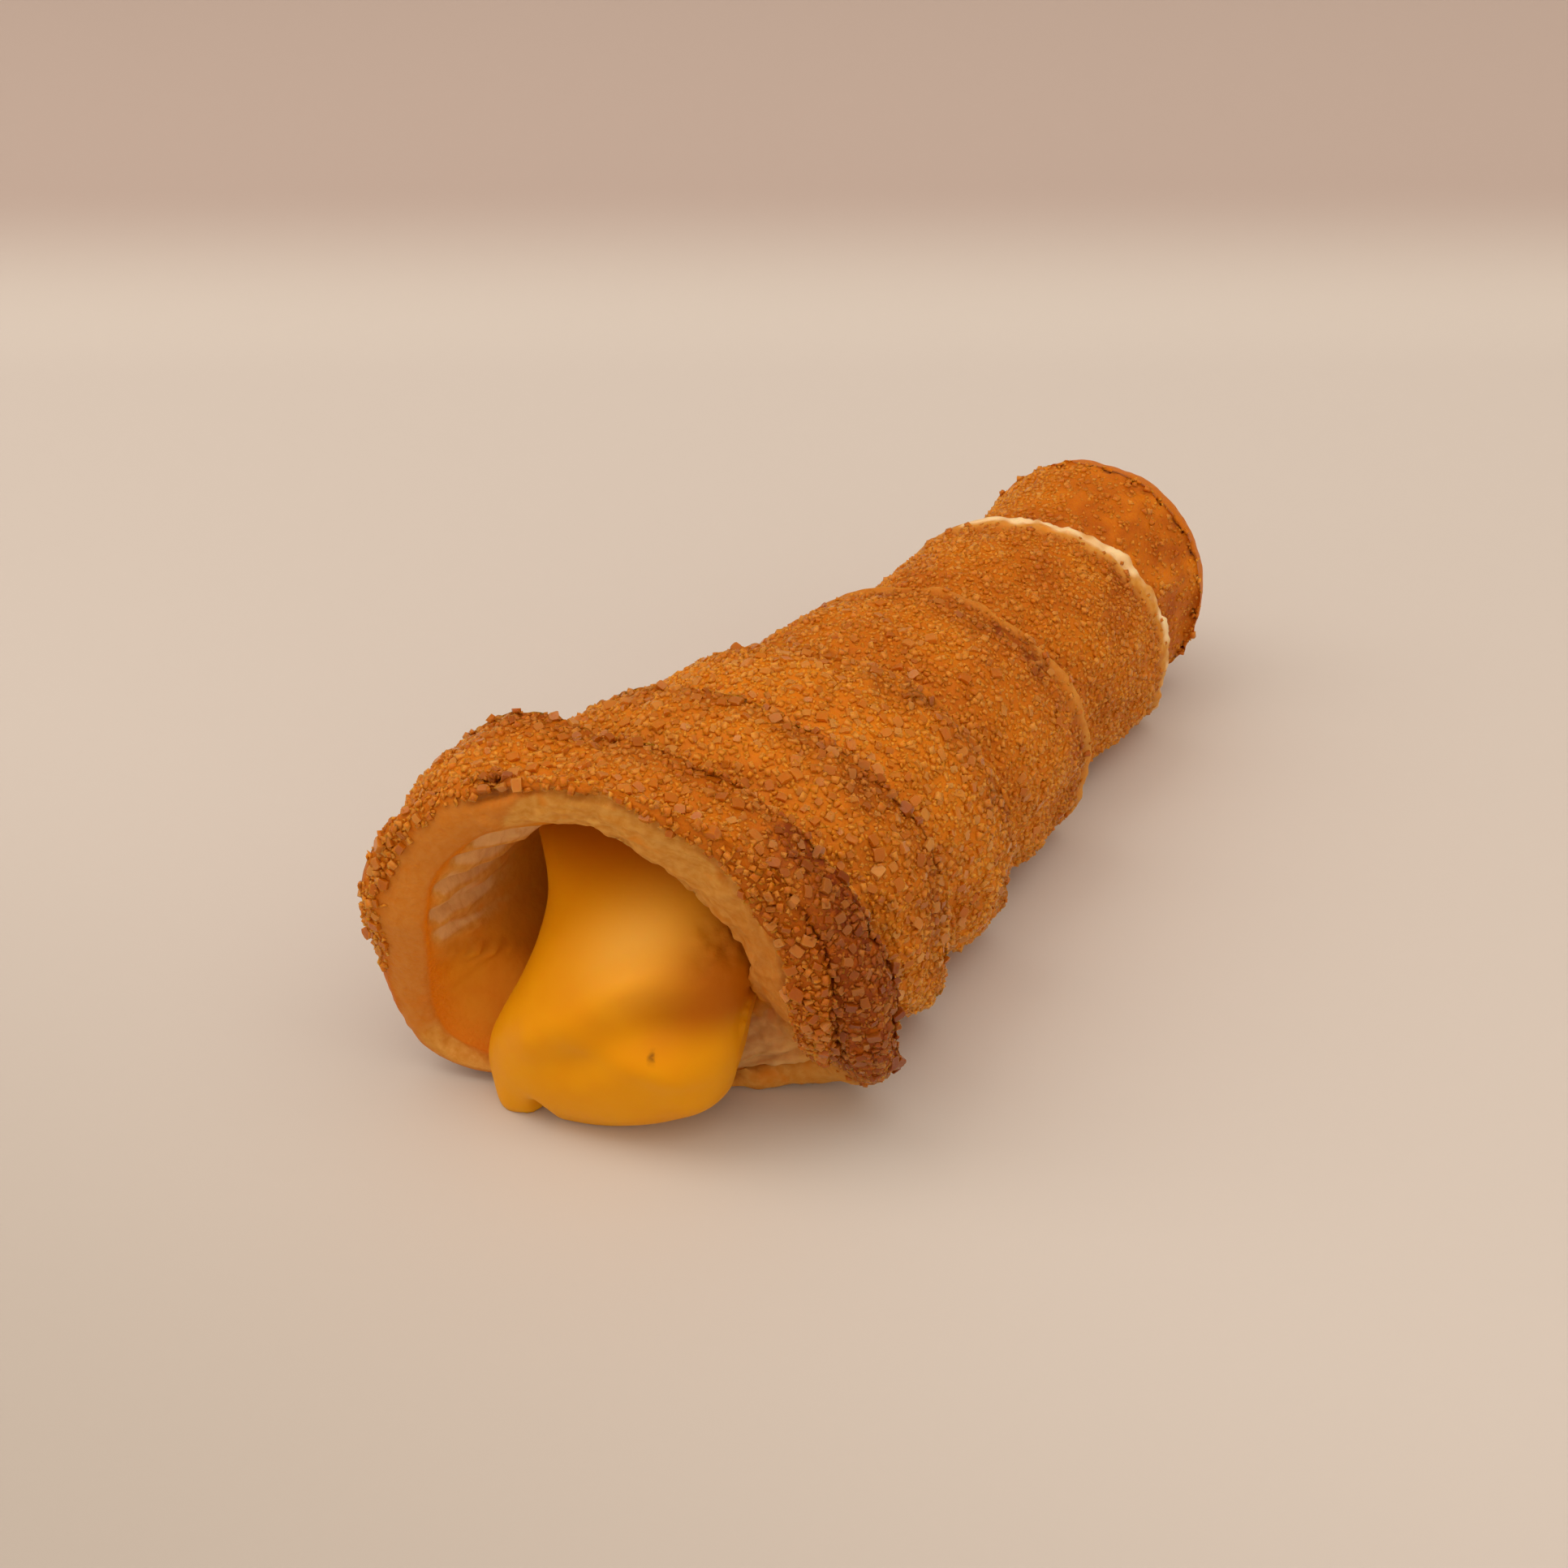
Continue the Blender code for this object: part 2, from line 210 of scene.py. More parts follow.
@dataclass(frozen=True)
class HornForm:
    """The plain rolled form, in millimetres, before any texture.

    Attributes:
        lips: Y of the lip behind each turn at the top of the roll.
        half_widths: Half width of the roll at each lip.
        half_heights: Half height of the roll at each lip.
        centres: Sideways centre of the roll at each lip.
        steps: Height of the lips above the valleys, at the mouth and at the rear.
        rear_y: Y of the rear end.
        bore_depths: Depth below the lips from which the wall of the bore is measured.
        lip_face_share: Share of a turn that its lip's steep rear face takes.
        settle_share: How far the roll's middle has sunk, as a share of its half height.
        mouth_y0: Y of the mouth where X is 0.
        mouth_slope: How fast the mouth slants back towards +X.
        mouth_lean: How far its lower edge leans back.
        foot_lean: How much further it leans back at the lower right.
        foot_lift: How far the rim is lifted there.
        mouth_centre: X and Z of the mouth's middle.
        mouth_half: Half width of the rim, and its height above the middle.
        mouth_drop: Depth of the rim below the middle.
        mouth_roll: Least and greatest length over which the rim rounds into the crust.
        first_turn_depth: Share of the full step that the turn at the mouth has.
        shoulder: Extra fullness of that turn at its upper left.
        lip_sag: How far back the first lip hangs at the lower right.
        hip: Extra fullness of that turn at the right.
        mouth_walls: Thickness of the wall at the mouth, every 30 degrees round.
        walls_meet: X of the point that the mouth's wall is measured towards.
        bore_roll: Length over which the bore flares into the mouth's inner edge.
        wall: Thickness of the wall behind the mouth.
        rear_round: Length of the rounded edge at the rear.
        rear_inset: How far that edge is drawn in.
        rim_set_back: How far the mouth's inner edge lies behind its outer edge.
        packed_middle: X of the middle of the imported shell's box, in the baker's frame.
        packed_rear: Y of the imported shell's rear end, in the baker's frame.
        turns_tried: First and last turn count that turn_at tries, and how many.
    """

    lips: EvenCurve = EvenCurve((1.4, 12.6, 26.2, 44.4, 67.0, 91.0))
    half_widths: EvenCurve = EvenCurve((20.5, 19.0, 17.3, 15.0, 13.5, 12.9))
    half_heights: EvenCurve = EvenCurve((16.6, 16.1, 15.0, 13.8, 12.8, 12.1))
    centres: EvenCurve = EvenCurve((0.7, 0.5, 0.4, -0.2, -1.5, -3.2))
    rear_y: float = 86.0
    steps: tuple[float, float] = (4.3, 3.4)
    bore_depths: tuple[float, float] = (2.8, 2.2)
    lip_face_share: float = 0.06
    settle_share: float = 0.06
    mouth_y0: float = -7.2
    mouth_slope: float = 0.28
    mouth_lean: float = 2.6
    foot_lean: float = 6.3
    foot_lift: float = 1.5
    mouth_centre: tuple[float, float] = (-0.1, 17.4)
    mouth_half: tuple[float, float] = (18.6, 15.1)
    mouth_drop: float = 17.2
    mouth_roll: tuple[float, float] = (1.4, 3.6)
    first_turn_depth: float = 0.25
    shoulder: float = 2.7
    lip_sag: float = 3.6
    hip: float = 0.9
    mouth_walls: EvenCurve = EvenCurve(
        (8.1, 9.5, 7.2, 4.0, 3.8, 5.3, 5.9, 2.8, 1.6, 2.0, 6.6, 9.2, 8.1)
    )
    walls_meet: float = -1.4
    bore_roll: float = 7.0
    wall: float = 3.4
    rear_round: float = 3.2
    rear_inset: float = 1.6
    rim_set_back: float = 0.5
    packed_middle: float = 0.593
    packed_rear: float = 85.0
    turns_tried: tuple[float, float, int] = (-6.0, 12.0, 9001)

    @staticmethod
    def lag(angle: np.ndarray) -> np.ndarray:
        """Share of a turn by which the helix at an angle trails its top."""
        return (math.pi / 2 - angle) / (2 * math.pi)

    def lip_y(self, turn: np.ndarray | float) -> np.ndarray:
        """Y of the lip line at a turn count, 1 being the top of the first lip."""
        return self.lips.at(np.asarray(turn, float) - 1.0)

    def turn_at(self, y: np.ndarray | float) -> np.ndarray:
        """Turn count at which the lip line passes a Y."""
        turns = np.linspace(*self.turns_tried)
        return np.interp(y, self.lip_y(turns), turns)

    def rim(self, angle: np.ndarray) -> tuple[np.ndarray, np.ndarray]:
        """X and Z of the mouth's outer edge: round above, squarer below, most so at the left."""
        cos, sin = np.cos(angle), np.sin(angle)
        low = ease(-sin, -0.1, 0.7)
        power = 2.0 + low * (0.5 + 2.6 * ease(-cos, -0.2, 0.75))
        wide, high = squarish(cos, 2.0 / power), squarish(sin, 2.0 / power)
        half_height = blend(self.mouth_half[1], self.mouth_drop, low)
        lift = self.foot_lift * arc(angle, -80.0, -38.0, 16.0)
        return (
            self.mouth_centre[0] + self.mouth_half[0] * wide,
            self.mouth_centre[1] + half_height * high + lift,
        )

    def mouth_y(self, angle: np.ndarray) -> np.ndarray:
        """Y of the slanted mouth, which leans back below and most at the right foot."""
        x, z = self.rim(angle)
        lean = self.mouth_lean * np.clip((self.mouth_centre[1] - z) / self.mouth_centre[1], 0, 1)
        foot = self.foot_lean * arc(angle, -88.0, -32.0, 26.0)
        return self.mouth_y0 + self.mouth_slope * x + lean + foot

    def section(self, y: np.ndarray) -> tuple[np.ndarray, np.ndarray, np.ndarray]:
        """Sideways centre, half width and half height of the roll at its lips."""
        place = np.clip(self.turn_at(y), 1.0, 6.0) - 1.0
        return self.centres.at(place), self.half_widths.at(place), self.half_heights.at(place)

    def along(self, pair: tuple[float, float], y: np.ndarray) -> np.ndarray:
        """Go from a value at the mouth to a value at the rear end."""
        return blend(pair[0], pair[1], np.clip(y / self.rear_y, 0.0, 1.0))

    def turn_width(self, line: np.ndarray) -> np.ndarray:
        """Length along the roll of the turn that ends at a lip line."""
        return self.lip_y(line) - self.lip_y(line - 1.0)

    def sag(self, angle: np.ndarray) -> np.ndarray:
        """How far back the first lip hangs, at the lower right."""
        return self.lip_sag * arc(angle, -75.0, -24.0, 22.0)

    def valley_depth(self, angle: np.ndarray, y: np.ndarray, share: np.ndarray) -> np.ndarray:
        """Depth below the lip line at a share of one turn; the turn at the mouth is fuller."""
        face = self.lip_face_share
        turn = np.rint(self.turn_at(y) - self.lag(angle) - share)
        late = ease(np.degrees(angle), -238.0, -175.0)
        first = np.where(turn < 0, 1.0, (turn < 1) * late)
        climb = np.clip(share / (1.0 - face), 0.0, 1.0)
        steps = self.along(self.steps, y)
        depth = steps * (1.0 - climb) ** 2.3 * blend(1.0, self.first_turn_depth, first)
        depth = depth - self.hip * first * arc(angle, -38.0, 0.0, 24.0)
        swell = self.shoulder * (1.0 - ease(y, 0.0, 4.0))
        depth = depth - swell * first * arc(angle, 114.0, 148.0, 11.0)
        return blend(depth, steps, ease(share, 1.0 - face, 1.0))

    def outer(
        self, angle: np.ndarray, y: np.ndarray, share: np.ndarray, inset: float = 0.0
    ) -> np.ndarray:
        """Points of the outside.

        Args:
            angle: Angles round the roll.
            y: Distance along the roll.
            share: Share of the turn, which sets how deep in the valley the point lies.
            inset: Distance by which the points are drawn in.

        Returns:
            Points with three coordinates each.
        """
        angle, y, share = np.broadcast_arrays(angle, y, share)
        centre, half_width, half_height = self.section(y)
        depth = self.valley_depth(angle, y, share) + inset
        middle = half_height * (1.0 - self.settle_share)
        cos, sin = np.cos(angle), np.sin(angle)
        power = 2.0 + 1.1 * ease(-sin, -0.1, 0.6)
        wide, high = squarish(cos, 2.0 / power), squarish(sin, 2.0 / power)
        body_x = centre + (half_width - depth) * wide
        body_z = np.maximum(middle + (half_height - depth) * high, 0.0)
        rim_x, rim_z = self.rim(angle)
        front = self.mouth_y(angle)
        lag = self.lag(angle)
        start = front - self.sag(angle)
        to_lip = self.lip_y(np.ceil(self.turn_at(start) - lag) + lag) - start
        roll = np.clip(0.9 * to_lip, *self.mouth_roll)
        part = np.clip((y - front) / roll, 0.0, 1.0)
        part = np.sqrt(1.0 - (1.0 - part) ** 2)
        return np.stack((blend(rim_x, body_x, part), y, blend(rim_z, body_z, part)), axis=-1)

    def bore(self, y: np.ndarray) -> tuple[np.ndarray, np.ndarray, np.ndarray, np.ndarray]:
        """Centre x, centre z, half width and half height of the bore behind the mouth."""
        centre, half_width, half_height = self.section(np.maximum(y, self.lips.values[0]))
        taken = self.along(self.bore_depths, y) + self.wall
        middle = half_height * (1.0 - self.settle_share)
        return centre, middle, half_width - taken, half_height - taken

    def inner(self, angle: np.ndarray, y: np.ndarray) -> np.ndarray:
        """Points of the bore's wall, which flares into the mouth's inner edge."""
        angle, y = np.broadcast_arrays(angle, y)
        centre_x, centre_z, half_width, half_height = self.bore(y)
        rim_x, rim_z = self.rim(angle)
        to_x, to_z = self.walls_meet - rim_x, self.mouth_centre[1] - rim_z
        thick = self.mouth_walls.at(np.degrees(angle) % 360.0 / 30.0) / np.hypot(to_x, to_z)
        part = ease(y - self.mouth_y(angle), -1.0, self.bore_roll)
        x = blend(rim_x + to_x * thick, centre_x + half_width * np.cos(angle), part)
        z = blend(rim_z + to_z * thick, centre_z + half_height * np.sin(angle), part)
        return np.stack((x, y, z), axis=-1)


# --- meshes -------------------------------------------------------------------------------


class Skin:
    """A closed surface being drawn: points in millimetres, faces, and a mask for each point."""

    def __init__(self, masks: Iterable[str]) -> None:
        """Start empty, with the names of the masks."""
        self.masks: dict[str, np.ndarray] = {name: np.zeros(0) for name in masks}
        self.points = np.zeros((0, 3))
        self.faces = np.zeros((0, 4), int)

    def add(self, points: np.ndarray, **masks: np.ndarray | float) -> np.ndarray:
        """Add a grid of points.

        Args:
            points: Points with three coordinates each.
            **masks: Values of named masks, one for each point or one for all.

        Returns:
            The new points' numbers, in the grid's own shape.
        """
        shape = points.shape[:-1]
        first = len(self.points)
        self.points = np.concatenate((self.points, points.reshape(-1, 3)))
        for name, held in self.masks.items():
            value = np.broadcast_to(masks.get(name, 0.0), shape).ravel()
            self.masks[name] = np.concatenate((held, value))
        return np.arange(first, len(self.points)).reshape(shape)

    def quads(self, *corners: np.ndarray) -> None:
        """Add one face for each entry of four arrays of point numbers."""
        self.faces = np.concatenate((self.faces, np.stack([c.ravel() for c in corners], axis=-1)))

    def bridge(self, ring_a: np.ndarray, ring_b: np.ndarray) -> None:
        """Join two closed rings of the same length."""
        self.quads(ring_a, np.roll(ring_a, -1), np.roll(ring_b, -1), ring_b)

    def weld(self) -> None:
        """Merge points that coincide, drop faces that vanish and turn faces outwards."""
        _, first, number = np.unique(
            np.round(self.points, 3), axis=0, return_index=True, return_inverse=True
        )
        self.points = self.points[first]
        self.masks = {name: held[first] for name, held in self.masks.items()}
        faces = number.ravel()[self.faces]
        crossed = (faces[:, 0] == faces[:, 2]) | (faces[:, 1] == faces[:, 3])
        same = (faces == np.roll(faces, -1, axis=1)).sum(axis=1)
        self.faces = faces[~crossed & (same < 2)]
        a, b, c, d = (self.points[self.faces[:, k]] for k in range(4))
        volume = np.sum(a * np.cross(b, c)) + np.sum(a * np.cross(c, d))
        if volume < 0:
            self.faces = self.faces[:, ::-1]

    def normals(self) -> np.ndarray:
        """Outward directions at the points."""
        a, b, c, d = (self.points[self.faces[:, k]] for k in range(4))
        across = np.cross(c - a, d - b)
        total = np.zeros_like(self.points)
        for k in range(4):
            np.add.at(total, self.faces[:, k], across)
        return total / np.maximum(np.linalg.norm(total, axis=1, keepdims=True), 1e-9)

    def make(self, name: str, shift: np.ndarray) -> bpy.types.Object:
        """Turn the surface into an object.

        Args:
            name: The object's name.
            shift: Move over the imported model, in millimetres.

        Returns:
            The object, at the origin, with its masks as point attributes.
        """
        faces = [[p for k, p in enumerate(face) if p != face[k - 1]] for face in self.faces.tolist()]
        mesh = bpy.data.meshes.new(name)
        mesh.from_pydata(((self.points + shift) * MM).tolist(), [], faces)
        paint(mesh, self.masks)
        mesh.shade_smooth()
        mesh.update()
        return place(name, mesh)


def paint(mesh: bpy.types.Mesh, masks: Mapping[str, np.ndarray]) -> None:
    """Store masks, one value for each point, on a mesh."""
    for name, held in masks.items():
        attribute = mesh.attributes.new(name, "FLOAT", "POINT")
        attribute.data.foreach_set("value", held.astype(np.float32))


def place(name: str, data: bpy.types.ID) -> bpy.types.Object:
    """Put a mesh, a light or a camera into the scene as an object at the origin."""
    thing = bpy.data.objects.new(name, data)
    bpy.context.scene.collection.objects.link(thing)
    return thing


def frozen(thing: bpy.types.Object, name: str) -> bpy.types.Object:
    """Swap an object for a plain one that holds what its modifiers make."""
    seen = thing.evaluated_get(bpy.context.evaluated_depsgraph_get())
    mesh = bpy.data.meshes.new_from_object(seen)
    bpy.data.objects.remove(thing)
    mesh.name = name
    return place(name, mesh)


# --- node trees ---------------------------------------------------------------------------


class Wiring:
    """Adds nodes and links to one node tree."""

    def __init__(self, tree: bpy.types.NodeTree) -> None:
        """Work on a tree."""
        self.tree = tree

    def node(
        self,
        kind: str,
        settings: Mapping[str, object] | None = None,
        sockets: Mapping[str | int, object] | None = None,
    ) -> bpy.types.Node:
        """Add a node.

        Args:
            kind: The node's type.
            settings: Its own settings, set first.
            sockets: Values or links of its input sockets, by name or number.

        Returns:
            The node.
        """
        made = self.tree.nodes.new(kind)
        for name, value in (settings or {}).items():
            setattr(made, name, value)
        for key, value in (sockets or {}).items():
            if isinstance(value, Number):
                value = value.socket
            if isinstance(value, bpy.types.NodeSocket):
                self.tree.links.new(value, made.inputs[key])
            else:
                made.inputs[key].default_value = value
        return made

    def random(self, kind: str, low: object, high: object, seed: int) -> bpy.types.NodeSocket:
        """Add a random value for each point: a FLOAT_VECTOR, a FLOAT or an INT."""
        place_in_node = ("FLOAT_VECTOR", "FLOAT", "INT").index(kind)
        sockets = {2 * place_in_node: low, 2 * place_in_node + 1: high, "Seed": seed}
        made = self.node("FunctionNodeRandomValue", {"data_type": kind}, sockets)
        return made.outputs[place_in_node]


class Number:
    """A number that varies over a surface, written with ordinary operators."""

    def __init__(self, wiring: Wiring, socket: bpy.types.NodeSocket) -> None:
        """Wrap an output socket."""
        self.wiring = wiring
        self.socket = socket

    def _math(self, operation: str, *terms: Number | float) -> Number:
        """Add a Math node on terms."""
        node = self.wiring.node(
            "ShaderNodeMath", {"operation": operation}, dict(enumerate(terms))
        )
        return Number(self.wiring, node.outputs[0])

    def __add__(self, other: Number | float) -> Number:
        """Sum."""
        return self._math("ADD", self, other)

    __radd__ = __add__

    def __mul__(self, other: Number | float) -> Number:
        """Product."""
        return self._math("MULTIPLY", self, other)

    def __sub__(self, other: Number | float) -> Number:
        """Difference."""
        return self._math("SUBTRACT", self, other)

    def __rsub__(self, other: Number | float) -> Number:
        """Difference with the number second."""
        return self._math("SUBTRACT", other, self)

    def rise(self, low: float, high: float) -> Number:
        """Go smoothly from 0 where the number is low to 1 where it is high."""
        node = self.wiring.node(
            "ShaderNodeMapRange",
            {"interpolation_type": "SMOOTHSTEP"},
            {"Value": self, "From Min": low, "From Max": high},
        )
        return Number(self.wiring, node.outputs["Result"])


class Dressing:
    """One material being wired up."""

    def __init__(self, name: str) -> None:
        """Start a material with an empty tree."""
        self.material = bpy.data.materials.new(name)
        self.material.use_nodes = True
        self.material.node_tree.nodes.clear()
        self.wiring = Wiring(self.material.node_tree)
        self.place = self.wiring.node("ShaderNodeTexCoord").outputs["Object"]

    def mask(self, name: str) -> Number:
        """Read a point attribute."""
        node = self.wiring.node("ShaderNodeAttribute", {"attribute_name": name})
        return Number(self.wiring, node.outputs["Fac"])

    def grain(self, size: float, detail: float = 2.0) -> Number:
        """Noise with lumps of a size in millimetres, from 0 to 1."""
        sockets = {"Vector": self.place, "Scale": 1.0 / (size * MM), "Detail": detail}
        return Number(self.wiring, self.wiring.node("ShaderNodeTexNoise", None, sockets).outputs["Fac"])

    def mix(self, a: object, b: object, share: Number | float) -> bpy.types.NodeSocket:
        """Blend two colours, each a socket or three numbers."""
        a, b = ((*c, 1.0) if isinstance(c, tuple) else c for c in (a, b))
        node = self.wiring.node(
            "ShaderNodeMix", {"data_type": "RGBA"}, {0: share, 6: a, 7: b}
        )
        return node.outputs[2]

    def bump(self, height: Number, depth: float) -> bpy.types.NodeSocket:
        """Raise the surface by a height of 0 to 1 times a depth in millimetres."""
        sockets = {"Strength": 1.0, "Distance": depth * MM, "Height": height}
        return self.wiring.node("ShaderNodeBump", None, sockets).outputs[0]

    def finish(self, **sockets: object) -> bpy.types.Material:
        """Close the material with a Principled shader, its sockets named with underscores."""
        named = {name.replace("_", " "): value for name, value in sockets.items()}
        shader = self.wiring.node("ShaderNodeBsdfPrincipled", None, named)
        self.wiring.node("ShaderNodeOutputMaterial", None, {"Surface": shader.outputs[0]})
        return self.material


# --- finishes -----------------------------------------------------------------------------


@dataclass(frozen=True)
class BakedPastry:
    """Puff pastry: glazed golden crust, burnt patches and painted shade, pale flaky layers, brown
    inside.
    """

    golden: Colour = (0.74, 0.225, 0.005)
    amber: Colour = (0.38, 0.076, 0.001)
    # Dark brown of burnt caramel, also used for painted shade.
    burnt_and_shade: Colour = (0.17, 0.022, 0.001)
    pale: Colour = (0.72, 0.37, 0.085)
    tan: Colour = (0.56, 0.21, 0.018)
    white: Colour = (0.95, 0.74, 0.46)
    within: Colour = (0.70, 0.27, 0.012)
    deep: Colour = (0.64, 0.19, 0.004)

    def material(self) -> bpy.types.Material:
        """Build the material."""
        dress = Dressing("baked_pastry")
        pale, dark, inside = (dress.mask(n) for n in ("pale", "dark", "inside"))
        leaf = dress.mask("leaf")
        fine = dress.grain(0.7, 3.0)
        # Browner where the crust baked darker, and as painted shade on the right side and towards the
        # lips.
        crust = dress.mix(self.golden, self.amber, dress.mask("bake") * 0.8 + fine * 0.2)
        # Burnt patches, with painted shade towards the lips, on the first turn's right side and in a
        # line under the crust's edge at the mouth.
        crust = dress.mix(crust, self.burnt_and_shade, dark * fine.rise(0.25, 0.6) * 0.85)
        wall = dress.mix(self.within, self.deep, dress.grain(3.5, 2.0).rise(0.4, 0.85) * 0.7)
        crust = dress.mix(crust, wall, inside)
        lines = dress.wiring.node(
            "ShaderNodeTexNoise",
            {"noise_dimensions": "1D"},
            {"W": leaf * 1.6 + dress.grain(1.2, 3.0) * 4.0, "Scale": 1.0, "Detail": 3.0},
        )
        layers = Number(dress.wiring, lines.outputs["Fac"])
        paleness = layers.rise(0.15, 0.75) * 0.45 + fine.rise(0.3, 0.7) * 0.5
        flaky = dress.mix(self.tan, self.pale, paleness)
        flaky = dress.mix(flaky, self.golden, dress.grain(2.4, 2.0).rise(0.58, 0.74) * 0.5)
        flaky = dress.mix(flaky, self.white, pale.rise(1.0, 1.6) * layers.rise(0.0, 0.4))
        colour = dress.mix(crust, flaky, pale)
        gloss = 0.42 + pale * 0.28 + inside * 0.12 + fine * 0.12
        grit = dress.grain(0.35, 2.0) * (1.0 - pale) * (1.0 - inside)
        height = fine * 0.6 + grit * 0.8 + layers * pale * 0.14
        return dress.finish(
            Base_Color=colour,
            Roughness=gloss,
            Normal=dress.bump(height, 0.13),
            Specular_IOR_Level=0.14,
            Subsurface_Weight=0.25,
            Subsurface_Radius=(1.0, 0.45, 0.12),
            Subsurface_Scale=0.0012,
        )


@dataclass(frozen=True)
class BakedSugar:
    """Sugar sunk in the caramel glaze, whose colour it takes: amber to almost clear crystals.

    Attributes:
        name: The material's name.
        crust: The crust it lies on.
        clarity: How far the clearest crystals differ from the crust.
        rough: Roughness of the crystals' faces.
        see_through: How much light passes through.
        light: Colour over a light crust.
        brown: Colour over a brown crust.
        clear: Colour of the clearest crystals.
    """

    name: str
    crust: BakedPastry
    clarity: float
    rough: float
    see_through: float
    light: Colour = (0.88, 0.285, 0.012)
    brown: Colour = (0.46, 0.10, 0.0015)
    clear: Colour = (0.90, 0.40, 0.08)

    def material(self) -> bpy.types.Material:
        """Build the material, whose colour follows each crystal's own tint."""
        dress = Dressing(self.name)
        tint, bake = dress.mask("tint"), dress.mask("bake")
        # Browner over a browner crust, which is partly painted shade.
        colour = dress.mix(self.light, self.brown, bake * 0.8 + 0.15 - tint * 0.3)
        # Darker where the crust is dark: burnt patches and painted shade.
        colour = dress.mix(colour, self.crust.burnt_and_shade, dress.mask("dark") * 0.55)
        glow = tint.rise(0.35, 1.0) * self.clarity + tint.rise(0.94, 0.98) * self.clarity * 0.5
        colour = dress.mix(colour, self.clear, glow * (1.0 - bake * 0.5))
        frost = dress.grain(0.25, 2.0)
        return dress.finish(
            Base_Color=colour,
            Roughness=self.rough + frost * 0.2,
            Normal=dress.bump(frost, 0.03),
            Specular_IOR_Level=0.2,
            Transmission_Weight=self.see_through,
            Subsurface_Weight=0.6,
            Subsurface_Radius=(1.0, 1.0, 0.9),
            Subsurface_Scale=0.0007,
        )


@dataclass(frozen=True)
class SetCustard:
    """Thick egg custard: satin, deep yellow, lit from within."""

    bright: Colour = (0.78, 0.33, 0.001)
    rich: Colour = (0.72, 0.275, 0.001)
    # Paler colour of the painted highlight on the custard's upper shelf.
    cream: Colour = (0.90, 0.47, 0.065)
    # Darker, richer colour painted as shade on the right side and the recessed top.
    deep: Colour = (0.44, 0.12, 0.0004)
    speck: Colour = (0.10, 0.03, 0.005)

    def material(self) -> bpy.types.Material:
        """Build the material."""
        dress = Dressing("set_custard")
        body = dress.mix(self.bright, self.rich, dress.grain(6.0, 2.0).rise(0.35, 0.7) * 0.6)
        # Painted shade: darker on the right side, away from the light, and on the top, which lies back
        # in the bore under the rim.
        body = dress.mix(body, self.deep, dress.mask("deep"))
        # Painted highlight: paler where the light falls on the upper shelf.
        body = dress.mix(body, self.cream, dress.mask("thin"))
        body = dress.mix(body, self.speck, dress.mask("speck"))
        torn = dress.mask("torn")
        fine = dress.grain(0.8, 3.0)
        height = fine * 0.12 + dress.grain(0.55, 3.0) * torn
        return dress.finish(
            Base_Color=body,
            Roughness=0.42 + torn * 0.2 + fine * 0.08,
            Normal=dress.bump(height, 0.15),
            Specular_IOR_Level=0.1,
            Subsurface_Weight=0.35,
            Subsurface_Radius=(1.0, 0.42, 0.05),
            Subsurface_Scale=0.002,
        )


@dataclass(frozen=True)
class PaleTable:
    """The plain pale table top, painted a little darker towards the front and where it rises as the
    backdrop, as painted shade.
    """

    colour: Colour = (0.66, 0.655, 0.70)
    front: Colour = (0.51, 0.495, 0.51)
    behind: Colour = (0.47, 0.405, 0.42)

    def material(self) -> bpy.types.Material:
        """Build the material."""
        dress = Dressing("pale_table")
        axes = dress.wiring.node("ShaderNodeSeparateXYZ", None, {0: dress.place}).outputs
        risen = Number(dress.wiring, axes[2]).rise(0.0, 0.014)
        # Painted shade: darker towards the front edge and where the table rises as the backdrop.
        edge = (Number(dress.wiring, axes[1]) * -1.0).rise(0.02, 0.12)
        colour = dress.mix(self.colour, self.front, edge)
        colour = dress.mix(colour, self.behind, risen)
        return dress.finish(Base_Color=colour, Roughness=0.7)


# --- the pastry ---------------------------------------------------------------------------


class SugarKind(Enum):
    """The kinds of sugar on the crust; each value is also its mask and its piece."""

    COARSE = "coarse_sugar"
    FINE = "fine_sugar"
    MELTED = "melted_sugar"


SHELL_MASKS = (
    "pale", "dark", "bake", "inside", "wall", "leaf", "rough", *(k.value for k in SugarKind)
)


